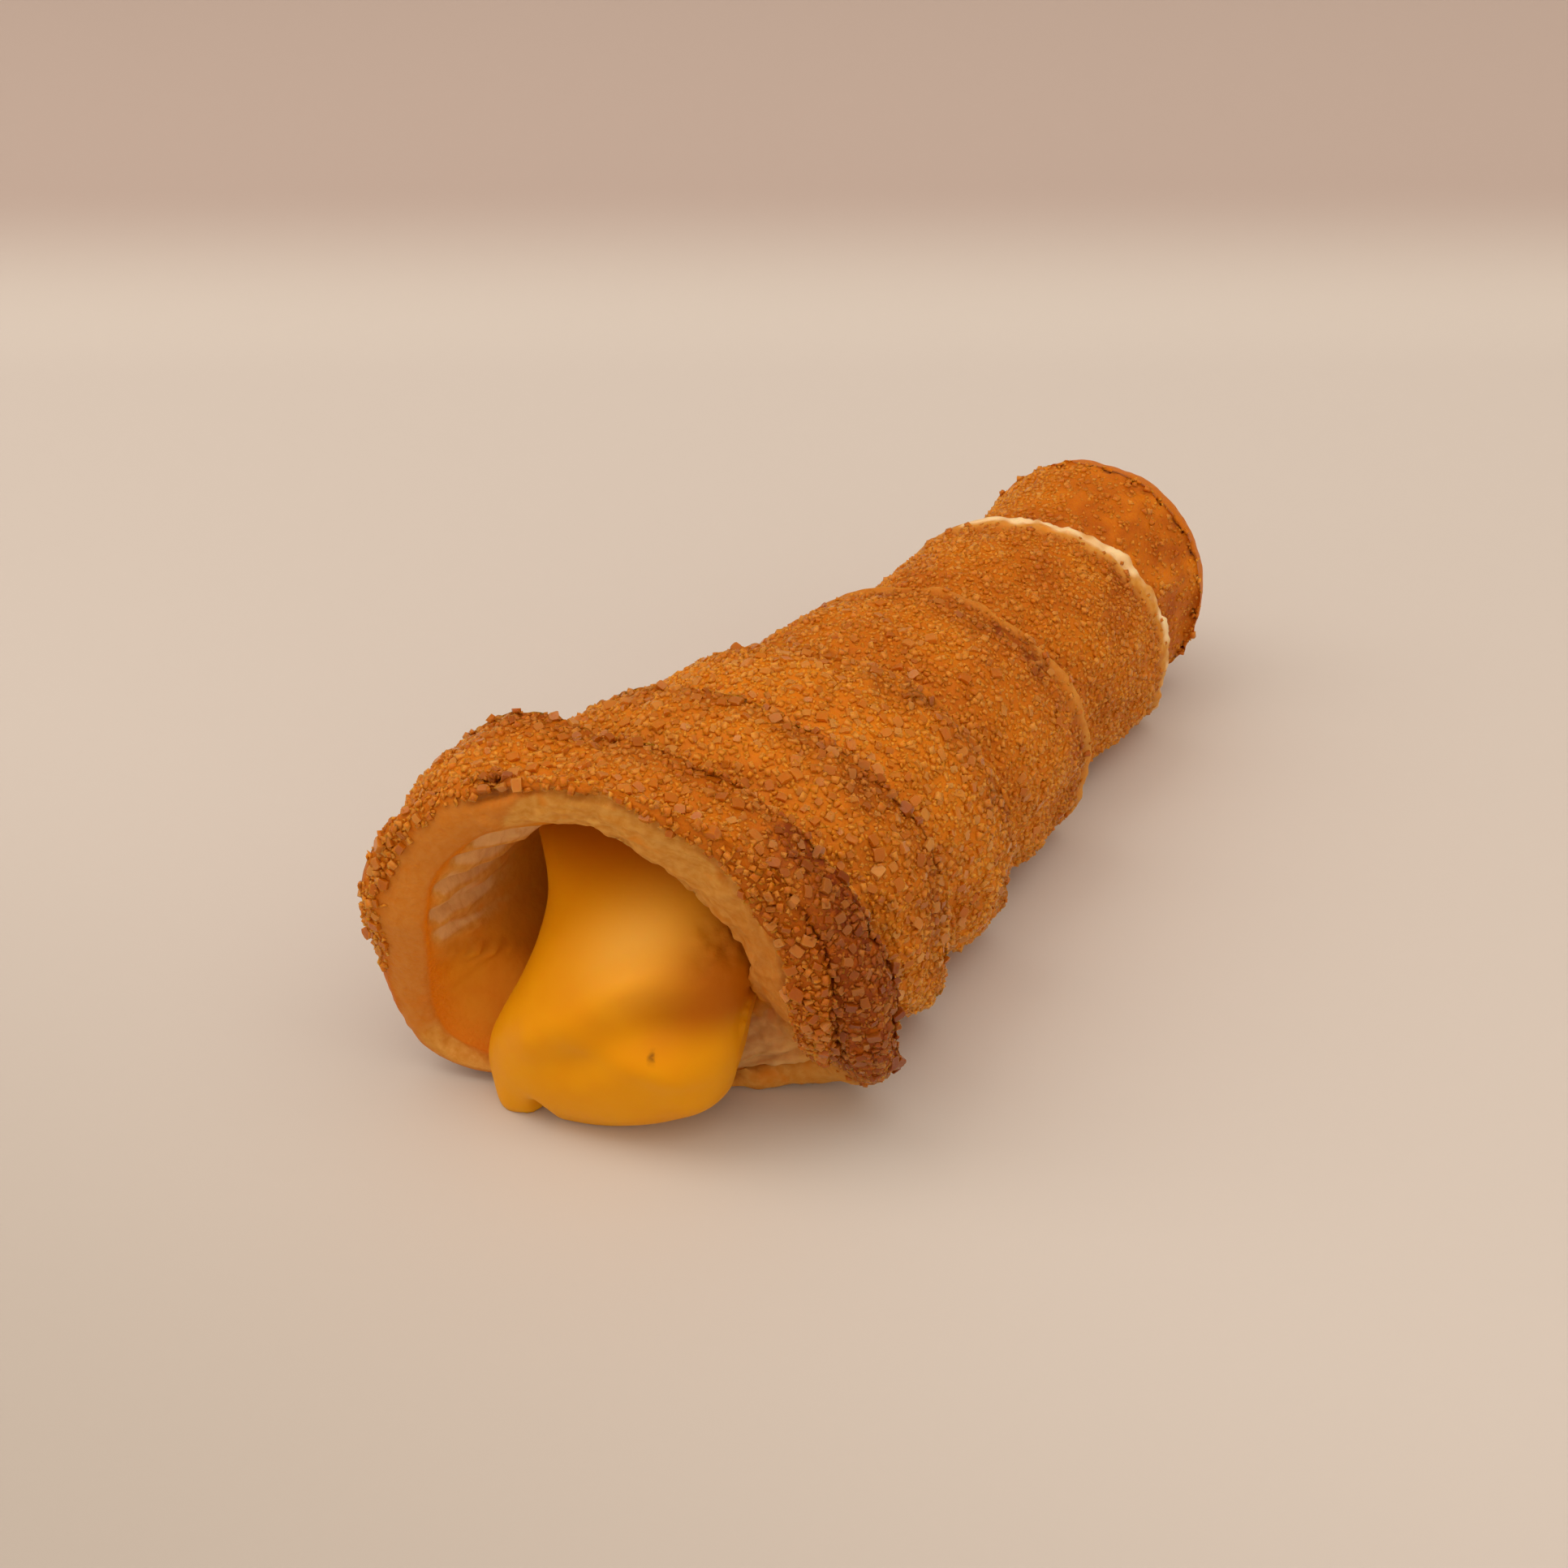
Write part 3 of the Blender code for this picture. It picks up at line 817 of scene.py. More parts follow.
@dataclass
class PastryShell:
    """The wound strip of pastry as one closed skin with its masks.

    Attributes:
        form: The plain rolled form.
        around: Points round the roll.
        per_turn: Rows of points in one turn.
        bore_rings: Rings along the bore.
        rim_rings: Rings across the mouth's cut front.
        rear_rings: Rings over the rounded rear edge.
        lip_rows: Rows of each turn that are kept for its lip.
        strip_end: Bearing of the strip's inner end at the mouth, in degrees.
        crust_edge: How far the sugared crust comes over the mouth, every 30 degrees round.
        bakes: How brown each turn is baked.
        lip_bare: Width of the bare pale edge of each lip.
        lip_pale: How pale that edge is.
        layers_start: Bearing from which the mouth's front shows its layers, up to the strip's end.
        foot_arc: Bearings of the bare foot at the lower right.
        flake_arc: Bearings of the flaky edge at the lower left.
        knob: Place of the burnt knob of sugar on the mouth's top.
        knob_radius: Its radius.
        skin: The surface being drawn.
    """

    form: HornForm
    around: int = 340
    per_turn: int = 32
    bore_rings: int = 46
    rim_rings: int = 28
    rear_rings: int = 8
    lip_rows: int = 12
    strip_end: float = 119.0
    crust_edge: EvenCurve = EvenCurve(
        (3.2, 3.3, 1.4, 0.4, 0.9, 2.3, 2.2, 0.2, -0.5, -0.5, 0.4, 2.2, 3.2)
    )
    bakes: tuple[float, ...] = (0.50, 0.24, 0.12, 0.54, 0.60, 0.44)
    lip_bare: tuple[float, ...] = (0.3, 0.45, 0.7, 1.3, 2.8, 1.6)
    lip_pale: tuple[float, ...] = (0.15, 0.25, 0.4, 0.8, 1.6, 0.9)
    layers_start: float = -75.0
    foot_arc: tuple[float, float] = (-84.0, -40.0)
    flake_arc: tuple[float, float] = (214.0, 262.0)
    knob: tuple[float, float, float] = (-6.9, -9.1, 31.5)
    knob_radius: float = 1.4
    skin: Skin = field(default_factory=lambda: Skin(SHELL_MASKS))

    def angles(self) -> np.ndarray:
        """Angles of the columns, clockwise from the strip's end."""
        turn = 2 * math.pi * np.arange(self.around) / self.around
        return math.radians(self.strip_end) - turn

    def build(self) -> Skin:
        """Draw the whole skin: outside, rear end, bore and cut front."""
        first, last = self._outside()
        rings = [last, *self._rear(), *self._bore(), *self._rim(), first]
        for ring_a, ring_b in zip(rings, rings[1:]):
            self.skin.bridge(ring_a, ring_b)
        self.skin.weld()
        self._texture()
        return self.skin

    def _shares(self) -> np.ndarray:
        """Shares of a turn at which rows lie, closer together at the lip."""
        close = 1.0 - 3.0 * self.form.lip_face_share
        near = np.linspace(0.0, close, self.per_turn - self.lip_rows, endpoint=False)
        return np.concatenate((near, np.linspace(close, 1.0, self.lip_rows, endpoint=False)))

    @staticmethod
    def _wander(line: np.ndarray) -> np.ndarray:
        """How far a lip strays from its line as it winds round."""
        stray = 0.35 * np.sin(line * 21.0) + 0.22 * np.sin(line * 47.0 + 1.0)
        return stray + 0.14 * np.sin(line * 113.0 + 2.0)

    def _outside(self) -> tuple[np.ndarray, np.ndarray]:
        """Draw the wound outside; returns its first and last rings."""
        form, angle = self.form, self.angles()[:, None]
        lag = form.lag(angle)
        turns = (np.arange(-1, 8)[:, None] + self._shares()[None, :]).ravel()[None, :]
        line = turns + lag
        lip_behind = np.floor(turns) + lag
        wander = blend(self._wander(lip_behind), self._wander(lip_behind + 1.0), turns % 1.0)
        sag = form.sag(angle)
        y = form.lip_y(line) + wander * ease(line, 0.2, 1.2) + sag * (1.0 - ease(line, 1.5, 4.0))
        front, shoulder = form.mouth_y(angle), form.rear_y - form.rear_round
        share = np.broadcast_to(turns % 1.0, y.shape)
        outside = (y <= front) | (y >= shoulder)
        y = np.clip(y, front, shoulder)
        share = np.where(outside, (form.turn_at(y - sag * (y <= front)) - lag) % 1.0, share)
        points = form.outer(angle, y, share)
        lip_line = line - share + 1.0
        gap = (1.0 - share) * form.turn_width(lip_line)
        masks = self._crust_masks(angle, y, gap, lip_line, points)
        overhang = ease(share, 0.88, 0.96) * (1.0 - ease(share, 0.965, 0.995)) * ~outside
        points[..., 1] += 0.7 * overhang * ease(lip_line, 1.5, 4.5)
        grid = self.skin.add(points, **masks)
        per = self.per_turn
        for column in range(self.around):
            there = grid[(column + 1) % self.around]
            jump = per if column == self.around - 1 else 0
            here = grid[column]
            count = len(here) - 1 - jump
            self.skin.quads(
                here[:count],
                here[1 : count + 1],
                there[1 + jump : count + 1 + jump],
                there[jump : count + jump],
            )
        return grid[:, 0], grid[:, -1]

    def _crust_masks(
        self,
        angle: np.ndarray,
        y: np.ndarray,
        gap: np.ndarray,
        lip_line: np.ndarray,
        points: np.ndarray,
    ) -> dict[str, np.ndarray]:
        """Where the outside is sugared, pale, or darkened by burnt caramel and painted shade; gap is
        the way to the lip ahead.
        """
        form = self.form
        depth = y - form.mouth_y(angle)
        wave = Grain(2.6, 11, 2).at(points)
        order = np.arange(1, 1 + len(self.lip_bare))
        bare = np.interp(lip_line, order, self.lip_bare)
        lip = 1.0 - ease(gap + 0.4 * wave, 0.7 * bare, 1.3 * bare)
        rear = ease(lip_line + 0.05 * wave, 5.9, 6.05)
        foot = self.foot(angle) * (1.0 - ease(depth + wave, 3.5, 7.0))
        left = arc(angle, 190.0, 268.0, 8.0) * (1.0 - ease(depth + wave, 5.0, 9.0))
        under = ease(points[..., 2], 0.7, 1.6)
        sugar = (1 - lip) * (1 - 0.6 * rear) * (1 - foot) * (1 - left) * under
        # Darker towards each lip's crest, more so on the right side: partly burnt caramel, partly
        # painted shade.
        near_lip = 1.0 - ease(gap, 2.0, 6.0)
        side = 0.35 + 0.65 * arc(angle, -70.0, 75.0, 20.0)
        lip_scorch_and_shade = ease(Grain(5.0, 23, 2).at(points), -0.3, 0.6) * near_lip * side * (1.0 - lip)
        # A painted shade line along each lip's crest.
        lip_scorch_and_shade = np.maximum(lip_scorch_and_shade, 0.5 * (1.0 - ease(gap, 1.0, 4.0)) * (1.0 - lip))
        # Painted shade, partly deeper baking: the first turn's right side, away from the light, is
        # browned and darkened.
        browned_and_shaded = (1.0 - ease(lip_line, 1.9, 2.3)) * arc(angle, -50.0, 40.0, 26.0)
        pale_lip = lip * np.interp(lip_line, order, self.lip_pale) * (0.85 + 0.5 * wave)
        bake = np.interp(lip_line, order, self.bakes) + 0.4 * Grain(6.0, 29, 2).at(points)
        # Browner on the first turn's right side and towards each lip: partly deeper baking, partly
        # painted shade.
        bake = bake + 0.8 * browned_and_shaded + 0.15 * near_lip - 0.05
        bake = bake + rear * (0.25 + 0.5 * Grain(2.2, 37, 2).at(points))
        close = 1.0 - ease(lip_line, 3.2, 4.6)
        return {
            "pale": np.clip(pale_lip + 0.85 * foot + 0.3 * left, 0.0, 1.6),
            "dark": np.clip(lip_scorch_and_shade * (1.0 - 0.5 * rear) + 0.75 * browned_and_shaded, 0.0, 1.0),
            "bake": np.clip(bake, 0.0, 1.0),
            "rough": np.clip(sugar + 0.15, 0.0, 1.0),
            "leaf": gap,
            SugarKind.COARSE.value: sugar * close,
            SugarKind.FINE.value: sugar,
            SugarKind.MELTED.value: sugar,
        }

    def _rear(self) -> list[np.ndarray]:
        """Draw the rounded rear end."""
        form, angle = self.form, self.angles()
        rings = []
        for step in range(1, self.rear_rings + 1):
            bend = math.pi / 2 * step / self.rear_rings
            y = form.rear_y - form.rear_round * (1.0 - math.sin(bend))
            share = (form.turn_at(form.rear_y - form.rear_round) - form.lag(angle)) % 1.0
            points = form.outer(angle, y, share, form.rear_inset * (1.0 - math.cos(bend)))
            part = step / self.rear_rings
            masks = {"bake": 0.4, "rough": 0.3, "leaf": 4.0 * part, "pale": 0.5 * part**2}
            rings.append(self.skin.add(points, **masks))
        return rings

    def _bore(self) -> list[np.ndarray]:
        """Draw the bore from the rear end to the mouth."""
        form, angle = self.form, self.angles()
        front = form.mouth_y(angle) + form.rim_set_back
        layered = arc(angle, self.layers_start, self.strip_end, 3.0)
        left = arc(angle, self.strip_end, 208.0, 8.0)
        rings = []
        for step in range(self.bore_rings, -1, -1):
            part = (step / self.bore_rings) ** 1.7
            y = blend(front, form.rear_y - form.rim_set_back, part)
            points = form.inner(angle, y)
            depth = y - front
            near = left * ease(depth, 0.0, 1.6) * (1.0 - ease(depth, 6.0, 13.0))
            # Pale flaky layers on the wall's folds, painted paler on each crest and overall: partly
            # real pale layers, partly painted highlight lifting the shaded cavity.
            wall = near * (0.45 + 0.55 * self.folds(points)) * ease(points[:, 2], 11.0, 17.0)
            edge = layered * (1.0 - ease(depth, 0.4, 2.4))
            rear_edge = 1.0 - ease(form.rear_y - y, 0.5, 3.0)
            rings.append(
                self.skin.add(
                    points,
                    pale=np.clip(2.2 * wall + 0.9 * edge + 0.5 * rear_edge, 0.0, 1.22),
                    wall=near,
                    inside=ease(depth, 0.0, 2.5) * (1.0 - rear_edge),
                    leaf=depth + 3.0,
                )
            )
        return rings

    def foot(self, angle: np.ndarray) -> np.ndarray:
        """Mark the bare crumbly foot at the mouth's lower right."""
        return arc(angle, *self.foot_arc, 8.0)

    @staticmethod
    def folds(points: np.ndarray) -> np.ndarray:
        """Height, from 0 to 1, of the soft folds that run inwards along the wall of the mouth."""
        wander = 0.32 * Grain(3.4, 31, 2, (1.0, 2.4, 1.0)).at(points)
        count = points[..., 2] / FOLD_HEIGHT + FOLD_SLOPE * points[..., 1] + wander
        return 0.5 + 0.5 * np.cos(2 * math.pi * count)

    def _rim(self) -> list[np.ndarray]:
        """Draw the cut front of the strip, from the bore out to the crust."""
        form, angle = self.form, self.angles()
        degrees = np.degrees(angle) % 360.0
        front = form.mouth_y(angle)
        share = (form.turn_at(front - form.sag(angle)) - form.lag(angle)) % 1.0
        outer = form.outer(angle, front, share)
        inner = form.inner(angle, front + form.rim_set_back)
        width = np.linalg.norm((inner - outer)[:, [0, 2]], axis=1)
        layered = arc(angle, self.layers_start, self.strip_end, 1.5)
        foot, flake = self.foot(angle), arc(angle, *self.flake_arc, 6.0)
        wedge = 1.0 - 0.8 * ease(self.strip_end - np.degrees(angle), 0.0, 20.0)
        edge = self.crust_edge.at(degrees / 30.0)
        # Painted shade: the pale front is made less pale on the right side of the mouth, away from the
        # light, and a little paler at the foot.
        painted_side_shade = 1.0 - 0.4 * arc(angle, -40.0, 30.0, 25.0) + 0.2 * foot
        rings = []
        for step in range(self.rim_rings - 1, 0, -1):
            t = step / self.rim_rings
            points = blend(outer, inner, t)
            wave = Grain(2.2, 41, 2).at(points)
            across = t * width
            crust = 1.0 - ease(across - edge - 0.4 * wave, -0.25, 0.25)
            band = layered * (1.0 - crust) * ease(t - wedge - 0.1 * wave, -0.04, 0.04)
            band = np.where(degrees < self.strip_end - 20.0, layered * (1.0 - crust), band)
            brown = arc(angle, -66.0, -8.0, 10.0) * ease(across - edge + 0.6 * wave, 4.2, 5.6)
            band = band * (1.0 - brown)
            swell = np.sin(math.pi * t) ** 0.5
            roll = swell + 0.5 * layered * crust * swell - 0.25 * band
            points[:, 1] -= roll - 0.45 * layered * hump(across - edge, 0.45, 0.3)
            points[:, 1] -= (0.5 * layered + 0.7 * flake) * wave * ease(t, 0.6, 0.95)
            sugar = crust * (1.0 - foot) * arc(angle, -40.0, 192.0, 6.0)
            pale = np.maximum(band, np.maximum(foot, flake * ease(t, 0.1, 0.5)))
            pale = np.maximum(pale * painted_side_shade, 0.4 * (1.0 - crust)) * (1.0 - brown)
            rings.append(
                self.skin.add(
                    points,
                    pale=np.clip(pale, 0.0, 1.4),
                    # Painted shadow: a dark line just past the crust's edge, where it overhangs the
                    # pale band.
                    dark=0.5 * layered * hump(across - edge, 0.3, 0.35),
                    inside=brown,
                    leaf=across,
                    # Browner on the right side of the mouth: partly deeper baking, partly painted
                    # shade.
                    bake=0.5 + 0.4 * arc(angle, -50.0, 42.0, 22.0),
                    rough=0.4 * crust,
                    **{kind.value: sugar for kind in SugarKind},
                )
            )
        return rings

    def _texture(self) -> None:
        """Push the skin's points in and out: lumps, grit, flaky ridges, a tear, a knob."""
        skin, masks = self.skin, self.skin.masks
        points, out = skin.points, skin.normals()
        x, y, z = points.T
        rough, pale, inside = masks["rough"], masks["pale"], masks["inside"]
        push = 0.4 * Grain(7.0, 3).at(points) + 0.36 * rough * Grain(2.5, 5, 2).at(points)
        push += 0.2 * rough * Grain(0.9, 7).at(points) - 0.45 * rough
        push *= 1.0 - 0.75 * inside
        leaves = np.stack((masks["leaf"], y * 0.25, z * 0.25), axis=-1)
        middle_x, middle_z = self.form.mouth_centre
        bearing = np.arctan2(z - middle_z, x - middle_x)
        layered = arc(bearing, self.foot_arc[0], self.strip_end, 6.0)
        push += (0.03 + 0.08 * layered) * pale * (1.0 - inside) * Grain(0.45, 13, 2).at(leaves)
        push += (0.08 + 0.24 * layered) * pale * (1.0 - rough) * Grain(1.5, 17, 2).at(points)
        wall = masks["wall"]
        push += 0.95 * wall * ease(z, 13.0, 18.0) * (self.folds(points) - 0.4)
        push += 0.35 * wall * Grain(2.2, 33, 2).at(points)
        tear = hump(z + 0.46 * (y + 8.9), 12.7, 0.35) * hump(y, -6.0, 3.0)
        tear = tear * np.minimum(1.5 * wall, 1.0)
        push -= tear
        knob = np.exp(-np.sum((points - self.knob) ** 2, axis=1) / self.knob_radius**2)
        push += 0.9 * knob
        masks["dark"] = np.clip(masks["dark"] + 0.9 * tear + 0.95 * knob, 0.0, 1.0)
        masks["pale"] = masks["pale"] * (1.0 - 0.9 * tear) * (1.0 - 0.8 * knob)
        skin.points = points + out * push[:, None]
        skin.points[:, 2] = np.maximum(skin.points[:, 2], 0.0)


@dataclass(frozen=True)
class SugarCoat:
    """One kind of sugar scattered over the crust as real crystals.

    Attributes:
        kind: The kind of sugar.
        spacing: Least distance between crystals, in millimetres.
        sizes: Smallest and largest crystal edge, in millimetres.
        tilt: How far crystals lean off the surface, in radians.
        seed: Picks one scatter.
        shapes: Number of crystal shapes to choose from.
        small_ones: How far small crystals outnumber large ones; 1 is evenly.
        crowding: Crystals tried on each square of the spacing, before the least distance thins them.
    """

    kind: SugarKind
    spacing: float
    sizes: tuple[float, float]
    tilt: float
    seed: int
    shapes: int = 7
    small_ones: float = 1.8
    crowding: float = 2.0

    def _shape(self, number: int) -> bpy.types.Object:
        """One crystal of unit size, half sunk in the crust."""
        rng = np.random.default_rng(self.seed * 100 + number)
        mesh = bpy.data.meshes.new(f"{self.kind.value}_shape_{number}")
        if self.kind is SugarKind.MELTED:
            corners, faces = self._shard(rng)
        else:
            corners, faces = self._block(rng, self.kind is SugarKind.COARSE)
        mesh.from_pydata(corners.tolist(), [], faces)
        if self.kind is not SugarKind.COARSE:
            mesh.shade_smooth()
        mesh.update()
        return bpy.data.objects.new(mesh.name, mesh)

    @staticmethod
    def _block(rng: np.random.Generator, worn: bool) -> tuple[np.ndarray, list[list[int]]]:
        """A skewed brick that lies flat, with its eight corners worn off if asked."""
        sides = np.array([1.0, rng.uniform(0.6, 0.95), rng.uniform(0.5, 0.8)]) / 2
        signs = np.array([[x, y, z] for z in (-1, 1) for y in (-1, 1) for x in (-1, 1)], float)
        corners = signs * sides * rng.uniform(0.85, 1.1, (8, 3)) - [0.0, 0.0, 0.08]
        faces = [
            [0, 2, 3, 1], [4, 5, 7, 6], [0, 1, 5, 4], [2, 6, 7, 3], [0, 4, 6, 2], [1, 3, 7, 5]
        ]
        if not worn:
            return corners, faces
        cut: dict[tuple[int, int], int] = {}
        points, trimmed = [], []
        for face in faces:
            ring = []
            for k, corner in enumerate(face):
                for other in (face[k - 1], face[(k + 1) % 4]):
                    if (corner, other) not in cut:
                        cut[corner, other] = len(points)
                        share = rng.uniform(0.14, 0.3)
                        points.append(blend(corners[corner], corners[other], share))
                    ring.append(cut[corner, other])
            trimmed.append(ring)
        for corner in range(8):
            around = [f for f in faces if corner in f]
            step = {f[(f.index(corner) + 1) % 4]: f[f.index(corner) - 1] for f in around}
            first = next(iter(step))
            ring = [first, step[first], step[step[first]]]
            trimmed.append([cut[corner, other] for other in ring])
        return np.array(points), trimmed

    @staticmethod
    def _shard(rng: np.random.Generator) -> tuple[np.ndarray, list[list[int]]]:
        """A chip of sugar: a skewed wedge with five corners."""
        corners = np.array(
            [[-0.5, -0.4, -0.3], [0.5, -0.4, -0.3], [0.4, 0.5, -0.3], [-0.4, 0.4, -0.3]]
        )
        corners = np.vstack((corners, [0.0, 0.0, 0.42])) * rng.uniform(0.7, 1.15, (5, 3))
        corners[4, :2] += rng.uniform(-0.35, 0.35, 2)
        return corners, [[3, 2, 1, 0], [0, 1, 4], [1, 2, 4], [2, 3, 4], [3, 0, 4]]

    def _tree(self) -> bpy.types.NodeTree:
        """Geometry nodes that scatter the crystals where the mask says."""
        tree = bpy.data.node_groups.new(f"{self.kind.value}_scatter", "GeometryNodeTree")
        sockets = (
            ("Geometry", "NodeSocketGeometry"),
            ("Crystals", "NodeSocketCollection"),
            ("Spacing", "NodeSocketFloat"),
            ("Smallest", "NodeSocketFloat"),
            ("Largest", "NodeSocketFloat"),
            ("Lean", "NodeSocketFloat"),
            ("Seed", "NodeSocketInt"),
            ("Finish", "NodeSocketMaterial"),
        )
        for name, kind in sockets:
            tree.interface.new_socket(name, in_out="INPUT", socket_type=kind)
        tree.interface.new_socket("Geometry", in_out="OUTPUT", socket_type="NodeSocketGeometry")
        wiring = Wiring(tree)
        given = wiring.node("NodeGroupInput").outputs
        mask = wiring.node(
            "GeometryNodeInputNamedAttribute", {"data_type": "FLOAT"}, {0: self.kind.value}
        )
        spread = wiring.node(
            "GeometryNodeDistributePointsOnFaces",
            {"distribute_method": "POISSON"},
            {
                "Mesh": given["Geometry"],
                "Distance Min": given["Spacing"],
                "Density Max": self.crowding / (self.spacing * MM) ** 2,
                "Density Factor": mask.outputs[0],
                "Seed": given["Seed"],
            },
        )
        lean = wiring.node(
            "ShaderNodeCombineXYZ", None, {0: given["Lean"], 1: given["Lean"], 2: math.pi}
        ).outputs[0]
        back = wiring.node(
            "ShaderNodeVectorMath", {"operation": "SCALE"}, {0: lean, "Scale": -1.0}
        ).outputs[0]
        spin = wiring.node(
            "FunctionNodeEulerToRotation", None, {0: wiring.random("FLOAT_VECTOR", back, lean, 1)}
        )
        facing = wiring.node(
            "FunctionNodeRotateRotation",
            {"rotation_space": "LOCAL"},
            {0: spread.outputs["Rotation"], 1: spin.outputs[0]},
        )
        skewed = wiring.node(
            "ShaderNodeMath",
            {"operation": "POWER"},
            {0: wiring.random("FLOAT", 0.0, 1.0, 2), 1: self.small_ones},
        )
        size = wiring.node(
            "ShaderNodeMapRange",
            None,
            {"Value": skewed.outputs[0], "To Min": given["Smallest"], "To Max": given["Largest"]},
        )
        source = wiring.node(
            "GeometryNodeCollectionInfo",
            None,
            {"Collection": given["Crystals"], "Separate Children": True, "Reset Children": True},
        )
        put = wiring.node(
            "GeometryNodeInstanceOnPoints",
            None,
            {
                "Points": spread.outputs["Points"],
                "Instance": source.outputs[0],
                "Pick Instance": True,
                "Instance Index": wiring.random("INT", 0, self.shapes - 1, 3),
                "Rotation": facing.outputs[0],
                "Scale": size.outputs[0],
            },
        )
        tinted = wiring.node(
            "GeometryNodeStoreNamedAttribute",
            {"data_type": "FLOAT", "domain": "INSTANCE"},
            {"Geometry": put.outputs[0], "Name": "tint", "Value": wiring.random("FLOAT", 0.0, 1.0, 4)},
        )
        real = wiring.node("GeometryNodeRealizeInstances", None, {0: tinted.outputs[0]})
        dressed = wiring.node(
            "GeometryNodeSetMaterial",
            None,
            {"Geometry": real.outputs[0], "Material": given["Finish"]},
        )
        wiring.node("NodeGroupOutput", None, {0: dressed.outputs[0]})
        return tree

    def make(self, host: bpy.types.Object, material: bpy.types.Material) -> bpy.types.Object:
        """Scatter the sugar over a host.

        Args:
            host: The pastry, with the masks as point attributes.
            material: The crystals' finish.

        Returns:
            All crystals of this kind as one plain object.
        """
        shapes = bpy.data.collections.new(f"{self.kind.value}_shapes")
        for number in range(self.shapes):
            shapes.objects.link(self._shape(number))
        carrier = place(f"{self.kind.value}_host", host.data.copy())
        modifier = carrier.modifiers.new("scatter", "NODES")
        modifier.node_group = self._tree()
        values = {
            "Crystals": shapes,
            "Spacing": self.spacing * MM,
            "Smallest": self.sizes[0] * MM,
            "Largest": self.sizes[1] * MM,
            "Lean": self.tilt,
            "Seed": self.seed,
            "Finish": material,
        }
        for item in modifier.node_group.interface.items_tree:
            if item.in_out == "INPUT" and item.name in values:
                modifier[item.identifier] = values[item.name]
        coat = frozen(carrier, self.kind.value)
        if not coat.data.materials:
            coat.data.materials.append(material)
        for thing in list(shapes.objects):
            bpy.data.objects.remove(thing)
        bpy.data.collections.remove(shapes)
        return coat


# --- the custard --------------------------------------------------------------------------


@dataclass(frozen=True)
class Crease:
    """A soft ridge or hollow along a line on the custard's front.

    Attributes:
        start: X and Z of one end, in millimetres.
        end: X and Z of the other end.
        width: Half width of the crease.
        height: Height of the ridge, or minus the depth of the hollow.
    """

    start: tuple[float, float]
    end: tuple[float, float]
    width: float
    height: float

    def at(self, x: np.ndarray, z: np.ndarray) -> np.ndarray:
        """Height of the crease at points."""
        start, end = np.array(self.start), np.array(self.end)
        along = end - start
        length = np.linalg.norm(along)
        along = along / length
        dx, dz = x - start[0], z - start[1]
        run = dx * along[0] + dz * along[1]
        off = -dx * along[1] + dz * along[0]
        past = np.maximum(np.abs(run - length / 2) - length / 2, 0.0)
        return self.height * np.exp(-((off / self.width) ** 2) - (past / (1.6 * self.width)) ** 2)


